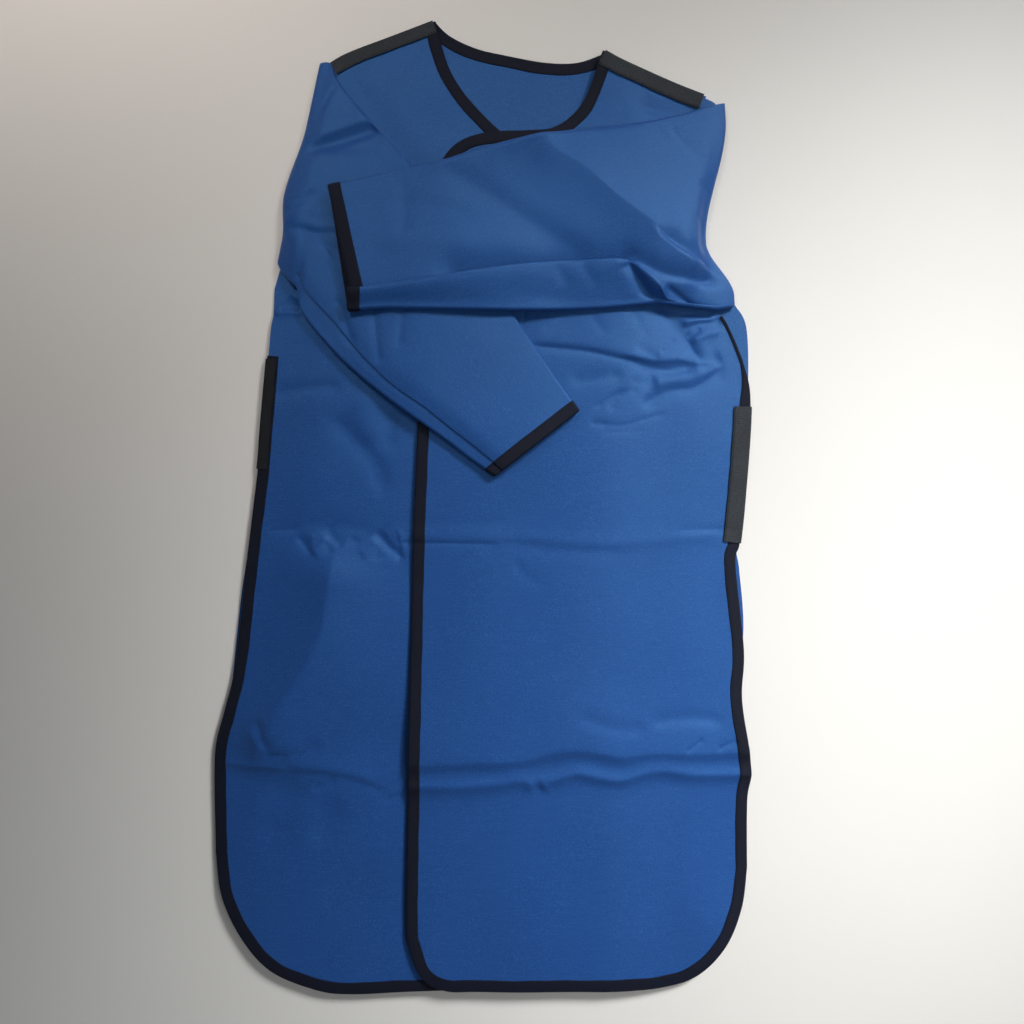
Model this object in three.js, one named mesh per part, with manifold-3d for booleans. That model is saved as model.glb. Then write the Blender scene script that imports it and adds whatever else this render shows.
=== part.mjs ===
// A sleeved, front-wrapped x-ray protective apron, laid face up with its sleeves folded across the chest.
// Millimetres, +Z up, +Y towards the neck. Left and right are the wearer's, so the wearer's left is on +X.
import * as THREE from "three";
import { mergeVertices } from "three/addons/utils/BufferGeometryUtils.js";
import Module from "manifold-3d";

// Cloth and tape
const BACK_THICKNESS = 3.0;
const FRONT_THICKNESS = 2.4;
const SLEEVE_WALL = 1.8;
const TAPE = 1.0;
const GAP = 0.3;
const TAPE_STEP = TAPE + GAP;
const BINDING_REACH = 14;
const RIGHT_BAND_REACH = 16;
const LEFT_BAND_REACH = 19;
const RIGHT_ELASTIC_REACH = 13;
const LEFT_ELASTIC_REACH = 22;

// How the fronts lie: down at their seamed edges, raised over the body space, the left front over the right
const FRONT_EDGE_LEVEL = BACK_THICKNESS + GAP + TAPE_STEP;
const BODY_RISE = 5.0;
const RISE_SPAN = 90;
const NECK_LIFT = TAPE_STEP;
const NECK_LIFT_FROM_Y = 490;
const NECK_LIFT_SPAN = 45;
const OVERLAP_LIFT = 2 * TAPE_STEP + FRONT_THICKNESS + 2 * GAP;
const OVERLAP_END_X = 135;
const OVERLAP_FADE = 100;
const RIGHT_ELASTIC_SPAN = { low: 43, high: 180 };
const LEFT_ELASTIC_SPAN = { low: -45, high: 122 };

// Solids are cut from layers that span this height
const FLOOR = 0;
const CUT_LOW = -4;
const CUT_HIGH = 70;
const CUT_PAST = 6;
const SLOT_END_PAST = 4;
const WELD = 1e-4;

// The lines that every cloth layer is faceted on, closer together where a fold crosses
const GRID_X = { low: -345, high: 345, step: 58 };
const GRID_Y = { low: -605, high: 605, step: 64 };
const FINE_Y = [
  { low: -364, high: -284, step: 16 },
  { low: -72, high: -16, step: 19 },
  { low: 78, high: 204, step: 18 },
];
const LEAST_LINE_GAP = 12;
const RUN_STEP = 8;
const RUN_TURN_DEG = 11;
const RUN_LONGEST = 200;
const MITRE_LIMIT = 2.5;

// Finished edges, each a smooth line through its rows, taken clockwise as seen from above
const LEFT_SHOULDER = [
  { x: 142, y: 545 },
  { x: 169, y: 531 },
  { x: 221, y: 511 },
  { x: 268, y: 493 },
];
const RIGHT_SHOULDER = [
  { x: -188, y: 530 },
  { x: -162, y: 544 },
  { x: -95, y: 569 },
  { x: -58, y: 583 },
];

const BACK_EDGES = {
  neck: [
    { x: -58, y: 583 },
    { x: -41, y: 567 },
    { x: -9, y: 552 },
    { x: 30, y: 543 },
    { x: 75, y: 535 },
    { x: 112, y: 535 },
    { x: 142, y: 545 },
  ],
  leftShoulder: LEFT_SHOULDER,
  leftArmhole: [
    { x: 268, y: 493 },
    { x: 282, y: 462 },
    { x: 280, y: 400 },
    { x: 264, y: 322 },
    { x: 268, y: 290 },
    { x: 286, y: 258 },
    { x: 304, y: 243 },
  ],
  leftSide: [
    { x: 304, y: 243 },
    { x: 318, y: 213 },
    { x: 319, y: 124 },
    { x: 311, y: 12 },
    { x: 305, y: -45 },
    { x: 309, y: -77 },
    { x: 314, y: -150 },
    { x: 305, y: -230 },
    { x: 305, y: -434 },
  ],
  hem: [
    { x: 305, y: -434 },
    { x: 284, y: -520 },
    { x: 215, y: -563 },
    { x: 0, y: -563 },
    { x: -215, y: -563 },
    { x: -285, y: -515 },
    { x: -312, y: -430 },
  ],
  rightSide: [
    { x: -312, y: -430 },
    { x: -312, y: -300 },
    { x: -298, y: -143 },
    { x: -289, y: -73 },
    { x: -275, y: 0 },
    { x: -270, y: 43 },
    { x: -266, y: 92 },
    { x: -258, y: 182 },
    { x: -254, y: 262 },
  ],
  rightArmhole: [
    { x: -254, y: 262 },
    { x: -236, y: 332 },
    { x: -236, y: 369 },
    { x: -205, y: 452 },
    { x: -199, y: 493 },
    { x: -188, y: 530 },
  ],
  rightShoulder: RIGHT_SHOULDER,
};

const LEFT_FRONT_EDGES = {
  shoulder: LEFT_SHOULDER,
  armhole: [
    { x: 268, y: 493 },
    { x: 251, y: 430 },
    { x: 240, y: 350 },
    { x: 232, y: 305 },
    { x: 254, y: 250 },
    { x: 293, y: 216 },
  ],
  side: [
    { x: 293, y: 216 },
    { x: 312, y: 170 },
    { x: 320, y: 122 },
    { x: 313, y: 11 },
    { x: 307, y: -45 },
    { x: 302, y: -70 },
    { x: 312, y: -172 },
    { x: 309, y: -233 },
    { x: 320, y: -313 },
    { x: 316, y: -354 },
    { x: 316, y: -434 },
  ],
  hem: [
    { x: 309, y: -480 },
    { x: 289, y: -526 },
    { x: 257, y: -559 },
    { x: 219, y: -573 },
    { x: 160, y: -576 },
    { x: 0, y: -576 },
    { x: -45, y: -575 },
  ],
  front: [
    { x: -73, y: -560 },
    { x: -88, y: -525 },
    { x: -92, y: -485 },
    { x: -89, y: -296 },
    { x: -83, y: -14 },
    { x: -70, y: 246 },
    { x: -59, y: 380 },
  ],
  neck: [
    { x: -48, y: 413 },
    { x: -27, y: 434 },
    { x: 6, y: 444 },
    { x: 50, y: 446 },
    { x: 82, y: 450 },
    { x: 108, y: 469 },
    { x: 124, y: 494 },
    { x: 142, y: 545 },
  ],
};

const RIGHT_FRONT_EDGES = {
  neck: [
    { x: -58, y: 583 },
    { x: -51, y: 553 },
    { x: -40, y: 522 },
    { x: -18, y: 489 },
    { x: 23, y: 448 },
    { x: 68, y: 420 },
    { x: 100, y: 394 },
  ],
  front: [
    { x: 117, y: 355 },
    { x: 120, y: 300 },
    { x: 111, y: 105 },
    { x: 101, y: -232 },
    { x: 99, y: -480 },
    { x: 96, y: -525 },
    { x: 80, y: -560 },
  ],
  hem: [
    { x: 52, y: -574 },
    { x: 0, y: -576 },
    { x: -85, y: -579 },
    { x: -157, y: -582 },
    { x: -201, y: -577 },
    { x: -253, y: -556 },
    { x: -289, y: -517 },
    { x: -314, y: -465 },
  ],
  side: [
    { x: -322, y: -415 },
    { x: -323, y: -300 },
    { x: -311, y: -245 },
    { x: -299, y: -192 },
    { x: -285, y: -67 },
    { x: -272, y: 43 },
    { x: -268, y: 92 },
    { x: -260, y: 181 },
  ],
  armhole: [
    { x: -260, y: 181 },
    { x: -253, y: 232 },
    { x: -226, y: 262 },
    { x: -206, y: 300 },
    { x: -203, y: 345 },
    { x: -186, y: 400 },
    { x: -172, y: 450 },
    { x: -188, y: 530 },
  ],
  shoulder: RIGHT_SHOULDER,
};

// How many rows of each neck edge lie on the shoulder seam's side of the overlap
const LEFT_NECK_SEAM_ROWS = 2;
const RIGHT_NECK_SEAM_ROWS = 5;

// Each shoulder band runs from the end of the shoulder and stops short of the neck tape
const RIGHT_BAND_SPAN = { low: -187, high: -75 };
const LEFT_BAND_SPAN = { low: 162, high: 267 };

// Folds and gathers: a straight ridge each, its ends fading out
const LEFT_FRONT_FOLDS = [
  { name: "lower crease inside", x0: -40, y0: -331, x1: 75, y1: -329, height: 4, half: 15 },
  { name: "lower crease middle", x0: 90, y0: -320, x1: 215, y1: -312, height: 5, half: 15 },
  { name: "lower crease side", x0: 225, y0: -313, x1: 290, y1: -326, height: 4, half: 14 },
  { name: "waist crease", x0: -40, y0: -42, x1: 270, y1: -38, height: 2.5, half: 18 },
  { name: "upper gather", x0: 142, y0: 186, x1: 250, y1: 172, height: 6, half: 13 },
  { name: "slanting gather", x0: 138, y0: 118, x1: 214, y1: 158, height: 4, half: 12 },
  { name: "low gather", x0: 140, y0: 92, x1: 200, y1: 101, height: 2.5, half: 11 },
];
const RIGHT_FRONT_FOLDS = [
  { name: "lower crease side", x0: -290, y0: -303, x1: -225, y1: -316, height: 4, half: 14 },
  { name: "lower crease inside", x0: -215, y0: -320, x1: -135, y1: -340, height: 4, half: 14 },
  { name: "waist crease", x0: -250, y0: -36, x1: -135, y1: -52, height: 2.5, half: 17 },
];
const FOLD_END_FADE = 34;

// Sleeves, section by section from the fold at the armhole to the cuff: upper edge (t), lower edge (b),
// the level each rests at, the height of the puffed edge and of the crest, and the dent of the armhole fold
const RIGHT_SLEEVE = {
  crestAt: 0.8,
  dentAt: 0.7,
  rows: [
    { tx: -197, ty: 514, tz: 3.4, bx: -248, by: 292, bz: 3.4, edge: 6, crest: 8, dent: 0 },
    { tx: -189, ty: 506, tz: 3.4, bx: -243, by: 282, bz: 3.4, edge: 8, crest: 14, dent: 0 },
    { tx: -178, ty: 495, tz: 8, bx: -234, by: 264, bz: 8, edge: 8, crest: 15, dent: 0 },
    { tx: -155, ty: 475, tz: 11, bx: -214, by: 228, bz: 11, edge: 8, crest: 14, dent: 0 },
    { tx: -120, ty: 442, tz: 13, bx: -182, by: 188, bz: 13, edge: 8, crest: 13, dent: 0 },
    { tx: -85, ty: 401, tz: 17.6, bx: -151, by: 158, bz: 15, edge: 8, crest: 13, dent: 0 },
    { tx: -45, ty: 344, tz: 20.6, bx: -113, by: 127, bz: 18, edge: 8, crest: 13, dent: 0 },
    { tx: 0, ty: 278, tz: 19, bx: -77, by: 101, bz: 19.8, edge: 8, crest: 13, dent: 0 },
    { tx: 34, ty: 228, tz: 18.4, bx: -45, by: 78, bz: 19, edge: 8, crest: 13, dent: 0 },
    { tx: 75, ty: 167, tz: 19, bx: -15, by: 55, bz: 18.8, edge: 9, crest: 15, dent: 0 },
    { tx: 112, ty: 113, tz: 20.2, bx: 13, by: 36, bz: 19.8, edge: 9, crest: 16, dent: 0 },
  ],
};
const LEFT_SLEEVE = {
  crestAt: 0.76,
  dentAt: 0.7,
  rows: [
    { tx: 286, ty: 472, tz: 3.4, bx: 301, by: 240, bz: 3.4, edge: 6, crest: 8, dent: 27 },
    { tx: 277, ty: 470, tz: 3.4, bx: 291, by: 237, bz: 3.4, edge: 8, crest: 14, dent: 26 },
    { tx: 262, ty: 466, tz: 8.4, bx: 274, by: 234, bz: 9, edge: 8, crest: 16, dent: 20 },
    { tx: 235, ty: 460, tz: 10.5, bx: 247, by: 236, bz: 12, edge: 8, crest: 17, dent: 10 },
    { tx: 183, ty: 451, tz: 15.6, bx: 206, by: 240, bz: 15.4, edge: 8, crest: 17, dent: 0 },
    { tx: 106, ty: 438, tz: 18.8, bx: 149, by: 234, bz: 18.6, edge: 8, crest: 16, dent: 0 },
    { tx: 50, ty: 428, tz: 22.6, bx: 100, by: 231, bz: 22.6, edge: 8, crest: 15, dent: 0 },
    { tx: -7, ty: 417, tz: 27.6, bx: 56, by: 229, bz: 28.4, edge: 8, crest: 15, dent: 0 },
    { tx: -46, ty: 403, tz: 30.6, bx: 0, by: 228, bz: 31.6, edge: 8, crest: 15, dent: 0 },
    { tx: -86, ty: 394, tz: 30.6, bx: -75, by: 229, bz: 31.6, edge: 8, crest: 15, dent: 0 },
    { tx: -130, ty: 384, tz: 29, bx: -115, by: 230, bz: 30, edge: 8, crest: 15, dent: 0 },
    { tx: -180, ty: 374, tz: 28.4, bx: -147, by: 230, bz: 29.8, edge: 8, crest: 15, dent: 0 },
  ],
};
const ACROSS = [0.03, 0.12, 0.28, 0.45, 0.62, 0.76, 0.88, 0.97];
const DENT_HALF = 0.24;
const CAVITY_START = 0.25;
const ARMHOLE_SLOT = { from: 0.45, to: 1.15, upper: 0.14, lower: 0.86, rise: 3, corners: 8 };
const MOUTH_PAST = 8;
const CUFF_SLOT_PAST = 3;
const CUFF_BORE_PAST = 5;

const CLOTH = new THREE.MeshStandardMaterial({ color: 0x2f5a98, roughness: 0.7, metalness: 0 });
const TAPE_CLOTH = new THREE.MeshStandardMaterial({ color: 0x14182a, roughness: 0.8, metalness: 0 });
const ELASTIC = new THREE.MeshStandardMaterial({ color: 0x16181f, roughness: 0.85, metalness: 0 });

const wasm = await Module();
wasm.setup();

function solidFrom(geometry) {
  const bare = new THREE.BufferGeometry();
  bare.setAttribute("position", geometry.getAttribute("position"));
  if (geometry.index) bare.setIndex(geometry.index);
  const merged = mergeVertices(bare, WELD);
  const vertProperties = merged.attributes.position.array;
  const triVerts = new Uint32Array(merged.index.array);
  return new wasm.Manifold(new wasm.Mesh({ numProp: 3, vertProperties, triVerts }));
}

function meshFrom(name, solid, material) {
  const made = solid.getMesh();
  const geometry = new THREE.BufferGeometry();
  geometry.setAttribute("position", new THREE.BufferAttribute(made.vertProperties, 3));
  geometry.setIndex(new THREE.BufferAttribute(made.triVerts, 1));
  geometry.computeVertexNormals();
  const mesh = new THREE.Mesh(geometry, material);
  mesh.name = name;
  return mesh;
}

function geometryFrom(vertices, triangles) {
  const geometry = new THREE.BufferGeometry();
  geometry.setAttribute("position", new THREE.Float32BufferAttribute(vertices.flat(), 3));
  geometry.setIndex(triangles.flat());
  return geometry;
}

function ease(value) {
  return THREE.MathUtils.smoothstep(value, 0, 1);
}

// Grid lines of one direction, coarse ones dropped where fine ones already run
function gridLines(coarse, fines) {
  const lines = fines.flatMap((fine) => steps(fine));
  for (const line of steps(coarse)) {
    if (lines.every((other) => Math.abs(other - line) > LEAST_LINE_GAP)) lines.push(line);
  }
  return lines.sort((a, b) => a - b);
}

function steps({ low, high, step }) {
  const count = Math.round((high - low) / step);
  return Array.from({ length: count + 1 }, (_, i) => low + ((high - low) * i) / count);
}

const LINES_X = gridLines(GRID_X, []);
const LINES_Y = gridLines(GRID_Y, FINE_Y);

// A layer between two level functions over the whole grid
function layer(lower, upper) {
  const columns = LINES_X.length;
  const rows = LINES_Y.length;
  const vertices = [];
  for (const level of [lower, upper]) {
    for (const y of LINES_Y) {
      for (const x of LINES_X) vertices.push([x, y, level(x, y)]);
    }
  }
  const top = columns * rows;
  const at = (i, j) => j * columns + i;
  const triangles = [];
  const wall = (a, b) => triangles.push([a, b, top + b], [a, top + b, top + a]);
  for (let j = 0; j + 1 < rows; j++) {
    for (let i = 0; i + 1 < columns; i++) {
      const [a, b, c, d] = [at(i, j), at(i + 1, j), at(i + 1, j + 1), at(i, j + 1)];
      triangles.push([a, c, b], [a, d, c], [top + a, top + b, top + c], [top + a, top + c, top + d]);
    }
  }
  for (let i = 0; i + 1 < columns; i++) {
    wall(at(i, 0), at(i + 1, 0));
    wall(at(i + 1, rows - 1), at(i, rows - 1));
  }
  for (let j = 0; j + 1 < rows; j++) {
    wall(at(columns - 1, j), at(columns - 1, j + 1));
    wall(at(0, j + 1), at(0, j));
  }
  return solidFrom(geometryFrom(vertices, triangles));
}

function prism(points, low = CUT_LOW, high = CUT_HIGH) {
  const shape = new THREE.Shape(points);
  const geometry = new THREE.ExtrudeGeometry(shape, { depth: high - low, bevelEnabled: false });
  geometry.translate(0, 0, low);
  return solidFrom(geometry);
}

// A smooth line through rows, with points only where it turns
function run(rows) {
  const curve = new THREE.SplineCurve(rows.map((row) => new THREE.Vector2(row.x, row.y)));
  const points = curve.getSpacedPoints(Math.max(2, Math.round(curve.getLength() / RUN_STEP)));
  const kept = [points[0]];
  let heading = points[1].clone().sub(points[0]).angle();
  for (let i = 1; i + 1 < points.length; i++) {
    const next = points[i + 1].clone().sub(points[i]).angle();
    const turned = Math.abs(THREE.MathUtils.euclideanModulo(next - heading + Math.PI, 2 * Math.PI) - Math.PI);
    const far = points[i].distanceTo(kept[kept.length - 1]) > RUN_LONGEST;
    if (turned < THREE.MathUtils.degToRad(RUN_TURN_DEG) && !far) continue;
    kept.push(points[i]);
    heading = next;
  }
  kept.push(points[points.length - 1]);
  return kept;
}

function joinRuns(...runs) {
  return runs.flatMap((points, i) => (i ? points.slice(1) : points));
}

// A line moved sideways: outwards is positive on a clockwise edge
function moved(points, distance) {
  const last = points.length - 1;
  const sideways = (from, to) => {
    const along = points[to].clone().sub(points[from]).normalize();
    return new THREE.Vector2(-along.y, along.x);
  };
  return points.map((point, i) => {
    const before = sideways(Math.max(0, i - 1), Math.max(1, i));
    const after = sideways(Math.min(last - 1, i), Math.min(last, i + 1));
    const middle = before.clone().add(after).normalize();
    const mitre = Math.min(MITRE_LIMIT, 1 / middle.dot(after));
    return point.clone().addScaledVector(middle, distance * mitre);
  });
}

function insetOutline(points, distance) {
  const closed = [points[points.length - 2], ...points, points[1]];
  return moved(closed, -distance).slice(1, -2);
}

function lengthened(points, distance) {
  const last = points.length - 1;
  const start = points[0].clone().sub(points[1]).setLength(distance).add(points[0]);
  const end = points[last].clone().sub(points[last - 1]).setLength(distance).add(points[last]);
  return [start, ...points, end];
}

function band(points, outer, inner) {
  return [...moved(points, outer), ...moved(points, inner).reverse()];
}

function distanceTo(points, x, y) {
  const spot = new THREE.Vector3(x, y, 0);
  const nearest = new THREE.Vector3();
  let least = Infinity;
  for (let i = 0; i + 1 < points.length; i++) {
    const ends = [points[i], points[i + 1]].map((point) => new THREE.Vector3(point.x, point.y, 0));
    new THREE.Line3(...ends).closestPointToPoint(spot, true, nearest);
    least = Math.min(least, nearest.distanceTo(spot));
  }
  return least;
}

// Tape folded round an edge: its outer face runs along the path, its slot lies between lower and upper
function foldedTape({ path, reach, lower, upper }) {
  const outside = layer((x, y) => lower(x, y) - TAPE, (x, y) => upper(x, y) + TAPE);
  const slotOutline = band(lengthened(path, SLOT_END_PAST), -TAPE, -reach - CUT_PAST);
  const slot = layer(lower, upper).intersect(prism(slotOutline));
  return outside.intersect(prism(band(path, 0, -reach))).subtract(slot);
}

function sheet(outline, lower, upper) {
  return layer(lower, upper).intersect(prism(insetOutline(outline, TAPE_STEP)));
}

function foldsAt(folds, x, y) {
  let height = 0;
  for (const fold of folds) {
    const along = new THREE.Vector2(fold.x1 - fold.x0, fold.y1 - fold.y0);
    const length = along.length();
    along.normalize();
    const offset = new THREE.Vector2(x - fold.x0, y - fold.y0);
    const run = offset.dot(along);
    const aside = offset.cross(along);
    const past = Math.max(0, -run, run - length);
    height += fold.height * Math.exp(-((aside / fold.half) ** 2)) * (1 - ease(past / FOLD_END_FADE));
  }
  return height;
}

// Outlines as runs
const backRuns = Object.fromEntries(Object.entries(BACK_EDGES).map(([edge, rows]) => [edge, run(rows)]));
const backOutline = joinRuns(...Object.values(backRuns));

const leftRows = LEFT_FRONT_EDGES;
const leftSide = run(leftRows.side);
const leftFree = run([leftRows.side.at(-1), ...leftRows.hem, ...leftRows.front, ...leftRows.neck]);
const leftBound = joinRuns(leftSide, leftFree);
const leftShoulder = run(leftRows.shoulder);
const leftArmhole = run(leftRows.armhole);
const leftOutline = joinRuns(leftShoulder, leftArmhole, leftBound);

const rightRows = RIGHT_FRONT_EDGES;
const rightSide = run(rightRows.side);
const rightFree = run([...rightRows.neck, ...rightRows.front, ...rightRows.hem, rightRows.side[0]]);
const rightBound = joinRuns(rightFree, rightSide);
const rightArmhole = run(rightRows.armhole);
const rightShoulder = run(rightRows.shoulder);
const rightOutline = joinRuns(rightBound, rightArmhole, rightShoulder);

// Each front lies down along these seamed edges and rises away from them
const leftNeckSeam = run(leftRows.neck.slice(-LEFT_NECK_SEAM_ROWS));
const rightNeckSeam = run(rightRows.neck.slice(0, RIGHT_NECK_SEAM_ROWS));
const leftSeams = joinRuns(leftNeckSeam, leftShoulder, leftArmhole, leftSide);
const rightSeams = joinRuns(rightSide, rightArmhole, rightShoulder, rightNeckSeam);

function frontLevel(seams, x, y) {
  const overNeckTape = NECK_LIFT * ease((y - NECK_LIFT_FROM_Y) / NECK_LIFT_SPAN);
  return FRONT_EDGE_LEVEL + overNeckTape + BODY_RISE * ease(distanceTo(seams, x, y) / RISE_SPAN);
}

function rightLower(x, y) {
  return frontLevel(rightSeams, x, y) + foldsAt(RIGHT_FRONT_FOLDS, x, y);
}

function leftLower(x, y) {
  const over = OVERLAP_LIFT * (1 - ease((x - OVERLAP_END_X) / OVERLAP_FADE));
  return frontLevel(leftSeams, x, y) + over + foldsAt(LEFT_FRONT_FOLDS, x, y);
}

function raised(level, height) {
  return (x, y) => level(x, y) + height;
}

const rightUpper = raised(rightLower, FRONT_THICKNESS);
const leftUpper = raised(leftLower, FRONT_THICKNESS);

// The stretch of a run that lies between two values of one coordinate
function stretch(points, axis, { low, high }) {
  const kept = [];
  points.forEach((point, i) => {
    if (i) {
      const before = points[i - 1];
      const crossed = [low, high].map((value) => (value - before[axis]) / (point[axis] - before[axis]));
      const inside = crossed.filter((share) => share > 0 && share < 1).sort((a, b) => a - b);
      kept.push(...inside.map((share) => before.clone().lerp(point, share)));
    }
    if (point[axis] >= low && point[axis] <= high) kept.push(point);
  });
  return kept;
}

const leftElasticPath = moved(stretch(leftSide, "y", LEFT_ELASTIC_SPAN), TAPE_STEP);
const rightElasticPath = moved(stretch(rightSide, "y", RIGHT_ELASTIC_SPAN), TAPE_STEP);
const leftBandPath = stretch(leftShoulder, "x", LEFT_BAND_SPAN);
const rightBandPath = stretch(rightShoulder, "x", RIGHT_BAND_SPAN);

const floorSlot = () => FLOOR + TAPE;
const WRAPS = {
  back_neck_binding: {
    path: backRuns.neck,
    reach: BINDING_REACH,
    lower: floorSlot,
    upper: () => BACK_THICKNESS + GAP,
    material: TAPE_CLOTH,
  },
  right_shoulder_band: {
    path: rightBandPath,
    reach: RIGHT_BAND_REACH,
    lower: floorSlot,
    upper: raised(rightUpper, GAP),
    material: ELASTIC,
  },
  left_shoulder_band: {
    path: leftBandPath,
    reach: LEFT_BAND_REACH,
    lower: floorSlot,
    upper: raised(leftUpper, GAP),
    material: ELASTIC,
  },
  right_side_elastic: {
    path: rightElasticPath,
    reach: RIGHT_ELASTIC_REACH,
    lower: floorSlot,
    upper: raised(rightUpper, TAPE_STEP + GAP),
    material: ELASTIC,
  },
  left_side_elastic: {
    path: leftElasticPath,
    reach: LEFT_ELASTIC_REACH,
    lower: floorSlot,
    upper: raised(leftUpper, TAPE_STEP + GAP),
    material: ELASTIC,
  },
};

function backPanel() {
  let solid = prism(insetOutline(backOutline, TAPE_STEP), FLOOR, BACK_THICKNESS);
  for (const { path, reach } of Object.values(WRAPS)) {
    const rebate = prism(band(lengthened(path, GAP), CUT_PAST, -reach - GAP), CUT_LOW, FLOOR + TAPE_STEP);
    solid = solid.subtract(rebate);
  }
  return solid;
}

// One sleeve section as a loop round the cloth, grown or shrunk by a distance
function sectionLoop(row, { crestAt, dentAt }, grow) {
  const upper = new THREE.Vector3(row.tx, row.ty, row.tz);
  const lower = new THREE.Vector3(row.bx, row.by, row.bz);
  const across = new THREE.Vector3(row.bx - row.tx, row.by - row.ty, 0).normalize();
  upper.addScaledVector(across, -grow);
  lower.addScaledVector(across, grow);
  const inward = new THREE.Vector3(across.y, -across.x, 0);
  const spot = (share) => {
    const point = upper.clone().lerp(lower, share);
    const dent = row.dent * (1 - ease(Math.abs(share - dentAt) / DENT_HALF));
    return point.addScaledVector(inward, dent);
  };
  const heightAt = (share) => {
    const climb = share < crestAt ? share / crestAt : (1 - share) / (1 - crestAt);
    return row.edge + (row.crest - row.edge) * climb;
  };
  const level = (share, height) => {
    const point = spot(share);
    return [point.x, point.y, point.z + height];
  };
  const under = ACROSS.map((share) => level(share, -grow));
  const over = ACROSS.map((share) => level(share, heightAt(share) + grow));
  return { ends: [level(0, row.edge / 2), level(1, row.edge / 2)], under, over };
}

// A closed body through sleeve sections
function loft(rows, shape, grow) {
  const vertices = [];
  const triangles = [];
  const around = 2 * ACROSS.length + 2;
  for (const row of rows) {
    const { ends, under, over } = sectionLoop(row, shape, grow);
    vertices.push(ends[0], ...under, ends[1], ...over.reverse());
  }
  for (let k = 0; k + 1 < rows.length; k++) {
    for (let i = 0; i < around; i++) {
      const next = (i + 1) % around;
      const [a, b] = [k * around + i, k * around + next];
      triangles.push([a, b + around, b], [a, a + around, b + around]);
    }
  }
  for (const [first, turned] of [[0, false], [(rows.length - 1) * around, true]]) {
    for (let i = 0; i < around / 2; i++) {
      const [a, b] = [first + i, first + i + 1];
      const [c, d] = [first + ((around - i) % around), first + around - i - 1];
      const faces = [[a, b, d], [a, d, c]].filter((face) => new Set(face).size === 3);
      triangles.push(...faces.map((face) => (turned ? [face[0], face[2], face[1]] : face)));
    }
  }
  const [first, last] = [rows[0], rows[rows.length - 1]];
  const axis = new THREE.Vector2(last.tx - first.tx, last.ty - first.ty);
  const turnedOver = axis.cross(new THREE.Vector2(first.bx - first.tx, first.by - first.ty)) > 0;
  const faces = turnedOver ? triangles.map(([a, b, c]) => [a, c, b]) : triangles;
  return solidFrom(geometryFrom(vertices, faces));
}

function rowBetween(a, b, share) {
  return Object.fromEntries(Object.keys(a).map((key) => [key, a[key] + (b[key] - a[key]) * share]));
}

// The row a distance before (negative) or past the cuff, on the line of the last two sections
function cuffRow(rows, distance) {
  const [before, last] = rows.slice(-2);
  const stepX = (last.tx + last.bx - before.tx - before.bx) / 2;
  const stepY = (last.ty + last.by - before.ty - before.by) / 2;
  return rowBetween(before, last, 1 + distance / Math.hypot(stepX, stepY));
}

function sleeve(shape) {
  const { rows } = shape;
  const start = rowBetween(rows[0], rows[1], CAVITY_START);
  const cavity = loft([start, ...rows.slice(1, -1), cuffRow(rows, MOUTH_PAST)], shape, -SLEEVE_WALL);
  const slotRows = [ARMHOLE_SLOT.from, ARMHOLE_SLOT.to].map((at) => {
    const before = Math.floor(at);
    return rowBetween(rows[before], rows[before + 1], at - before);
  });
  const corner = (row, share) => {
    const dent = row.dent * (1 - ease(Math.abs(share - shape.dentAt) / DENT_HALF));
    const along = new THREE.Vector2(row.bx - row.tx, row.by - row.ty);
    const point = new THREE.Vector2(row.tx, row.ty).addScaledVector(along, share);
    along.normalize();
    return point.add(new THREE.Vector2(along.y, -along.x).multiplyScalar(dent));
  };
  const shares = Array.from({ length: ARMHOLE_SLOT.corners + 1 }, (_, i) => {
    return THREE.MathUtils.lerp(ARMHOLE_SLOT.upper, ARMHOLE_SLOT.lower, i / ARMHOLE_SLOT.corners);
  });
  const outline = [
    ...shares.map((share) => corner(slotRows[0], share)),
    ...shares.reverse().map((share) => corner(slotRows[1], share)),
  ];
  const slot = prism(outline, CUT_LOW, rows[0].tz + SLEEVE_WALL + ARMHOLE_SLOT.rise);
  return loft(rows, shape, 0).subtract(cavity).subtract(slot);
}

function cuffBinding(shape) {
  const { rows } = shape;
  const from = (distance) => cuffRow(rows, -BINDING_REACH + TAPE_STEP - distance);
  const outer = loft([from(0), cuffRow(rows, TAPE_STEP)], shape, TAPE_STEP);
  const bore = [from(CUFF_BORE_PAST), cuffRow(rows, MOUTH_PAST)];
  const mouth = loft(bore, shape, -SLEEVE_WALL - TAPE_STEP);
  const slot = loft([from(CUFF_SLOT_PAST), cuffRow(rows, GAP)], shape, GAP);
  const inside = loft(bore, shape, -SLEEVE_WALL - GAP);
  return outer.subtract(slot.subtract(inside)).subtract(mouth);
}

const apron = new THREE.Group();
apron.add(meshFrom("back_panel", backPanel(), CLOTH));
apron.add(meshFrom("right_front_panel", sheet(rightOutline, rightLower, rightUpper), CLOTH));
apron.add(meshFrom("left_front_panel", sheet(leftOutline, leftLower, leftUpper), CLOTH));

const FRONT_BINDINGS = {
  right_front_binding: { path: rightBound, lower: rightLower, upper: rightUpper },
  left_front_binding: { path: leftBound, lower: leftLower, upper: leftUpper },
};
for (const [name, { path, lower, upper }] of Object.entries(FRONT_BINDINGS)) {
  const slot = { lower: raised(lower, -GAP), upper: raised(upper, GAP) };
  apron.add(meshFrom(name, foldedTape({ path, reach: BINDING_REACH, ...slot }), TAPE_CLOTH));
}

for (const [name, { material, ...wrap }] of Object.entries(WRAPS)) {
  apron.add(meshFrom(name, foldedTape(wrap), material));
}

for (const [side, shape] of Object.entries({ right: RIGHT_SLEEVE, left: LEFT_SLEEVE })) {
  apron.add(meshFrom(`${side}_sleeve`, sleeve(shape), CLOTH));
  apron.add(meshFrom(`${side}_cuff_binding`, cuffBinding(shape), TAPE_CLOTH));
}

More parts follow.
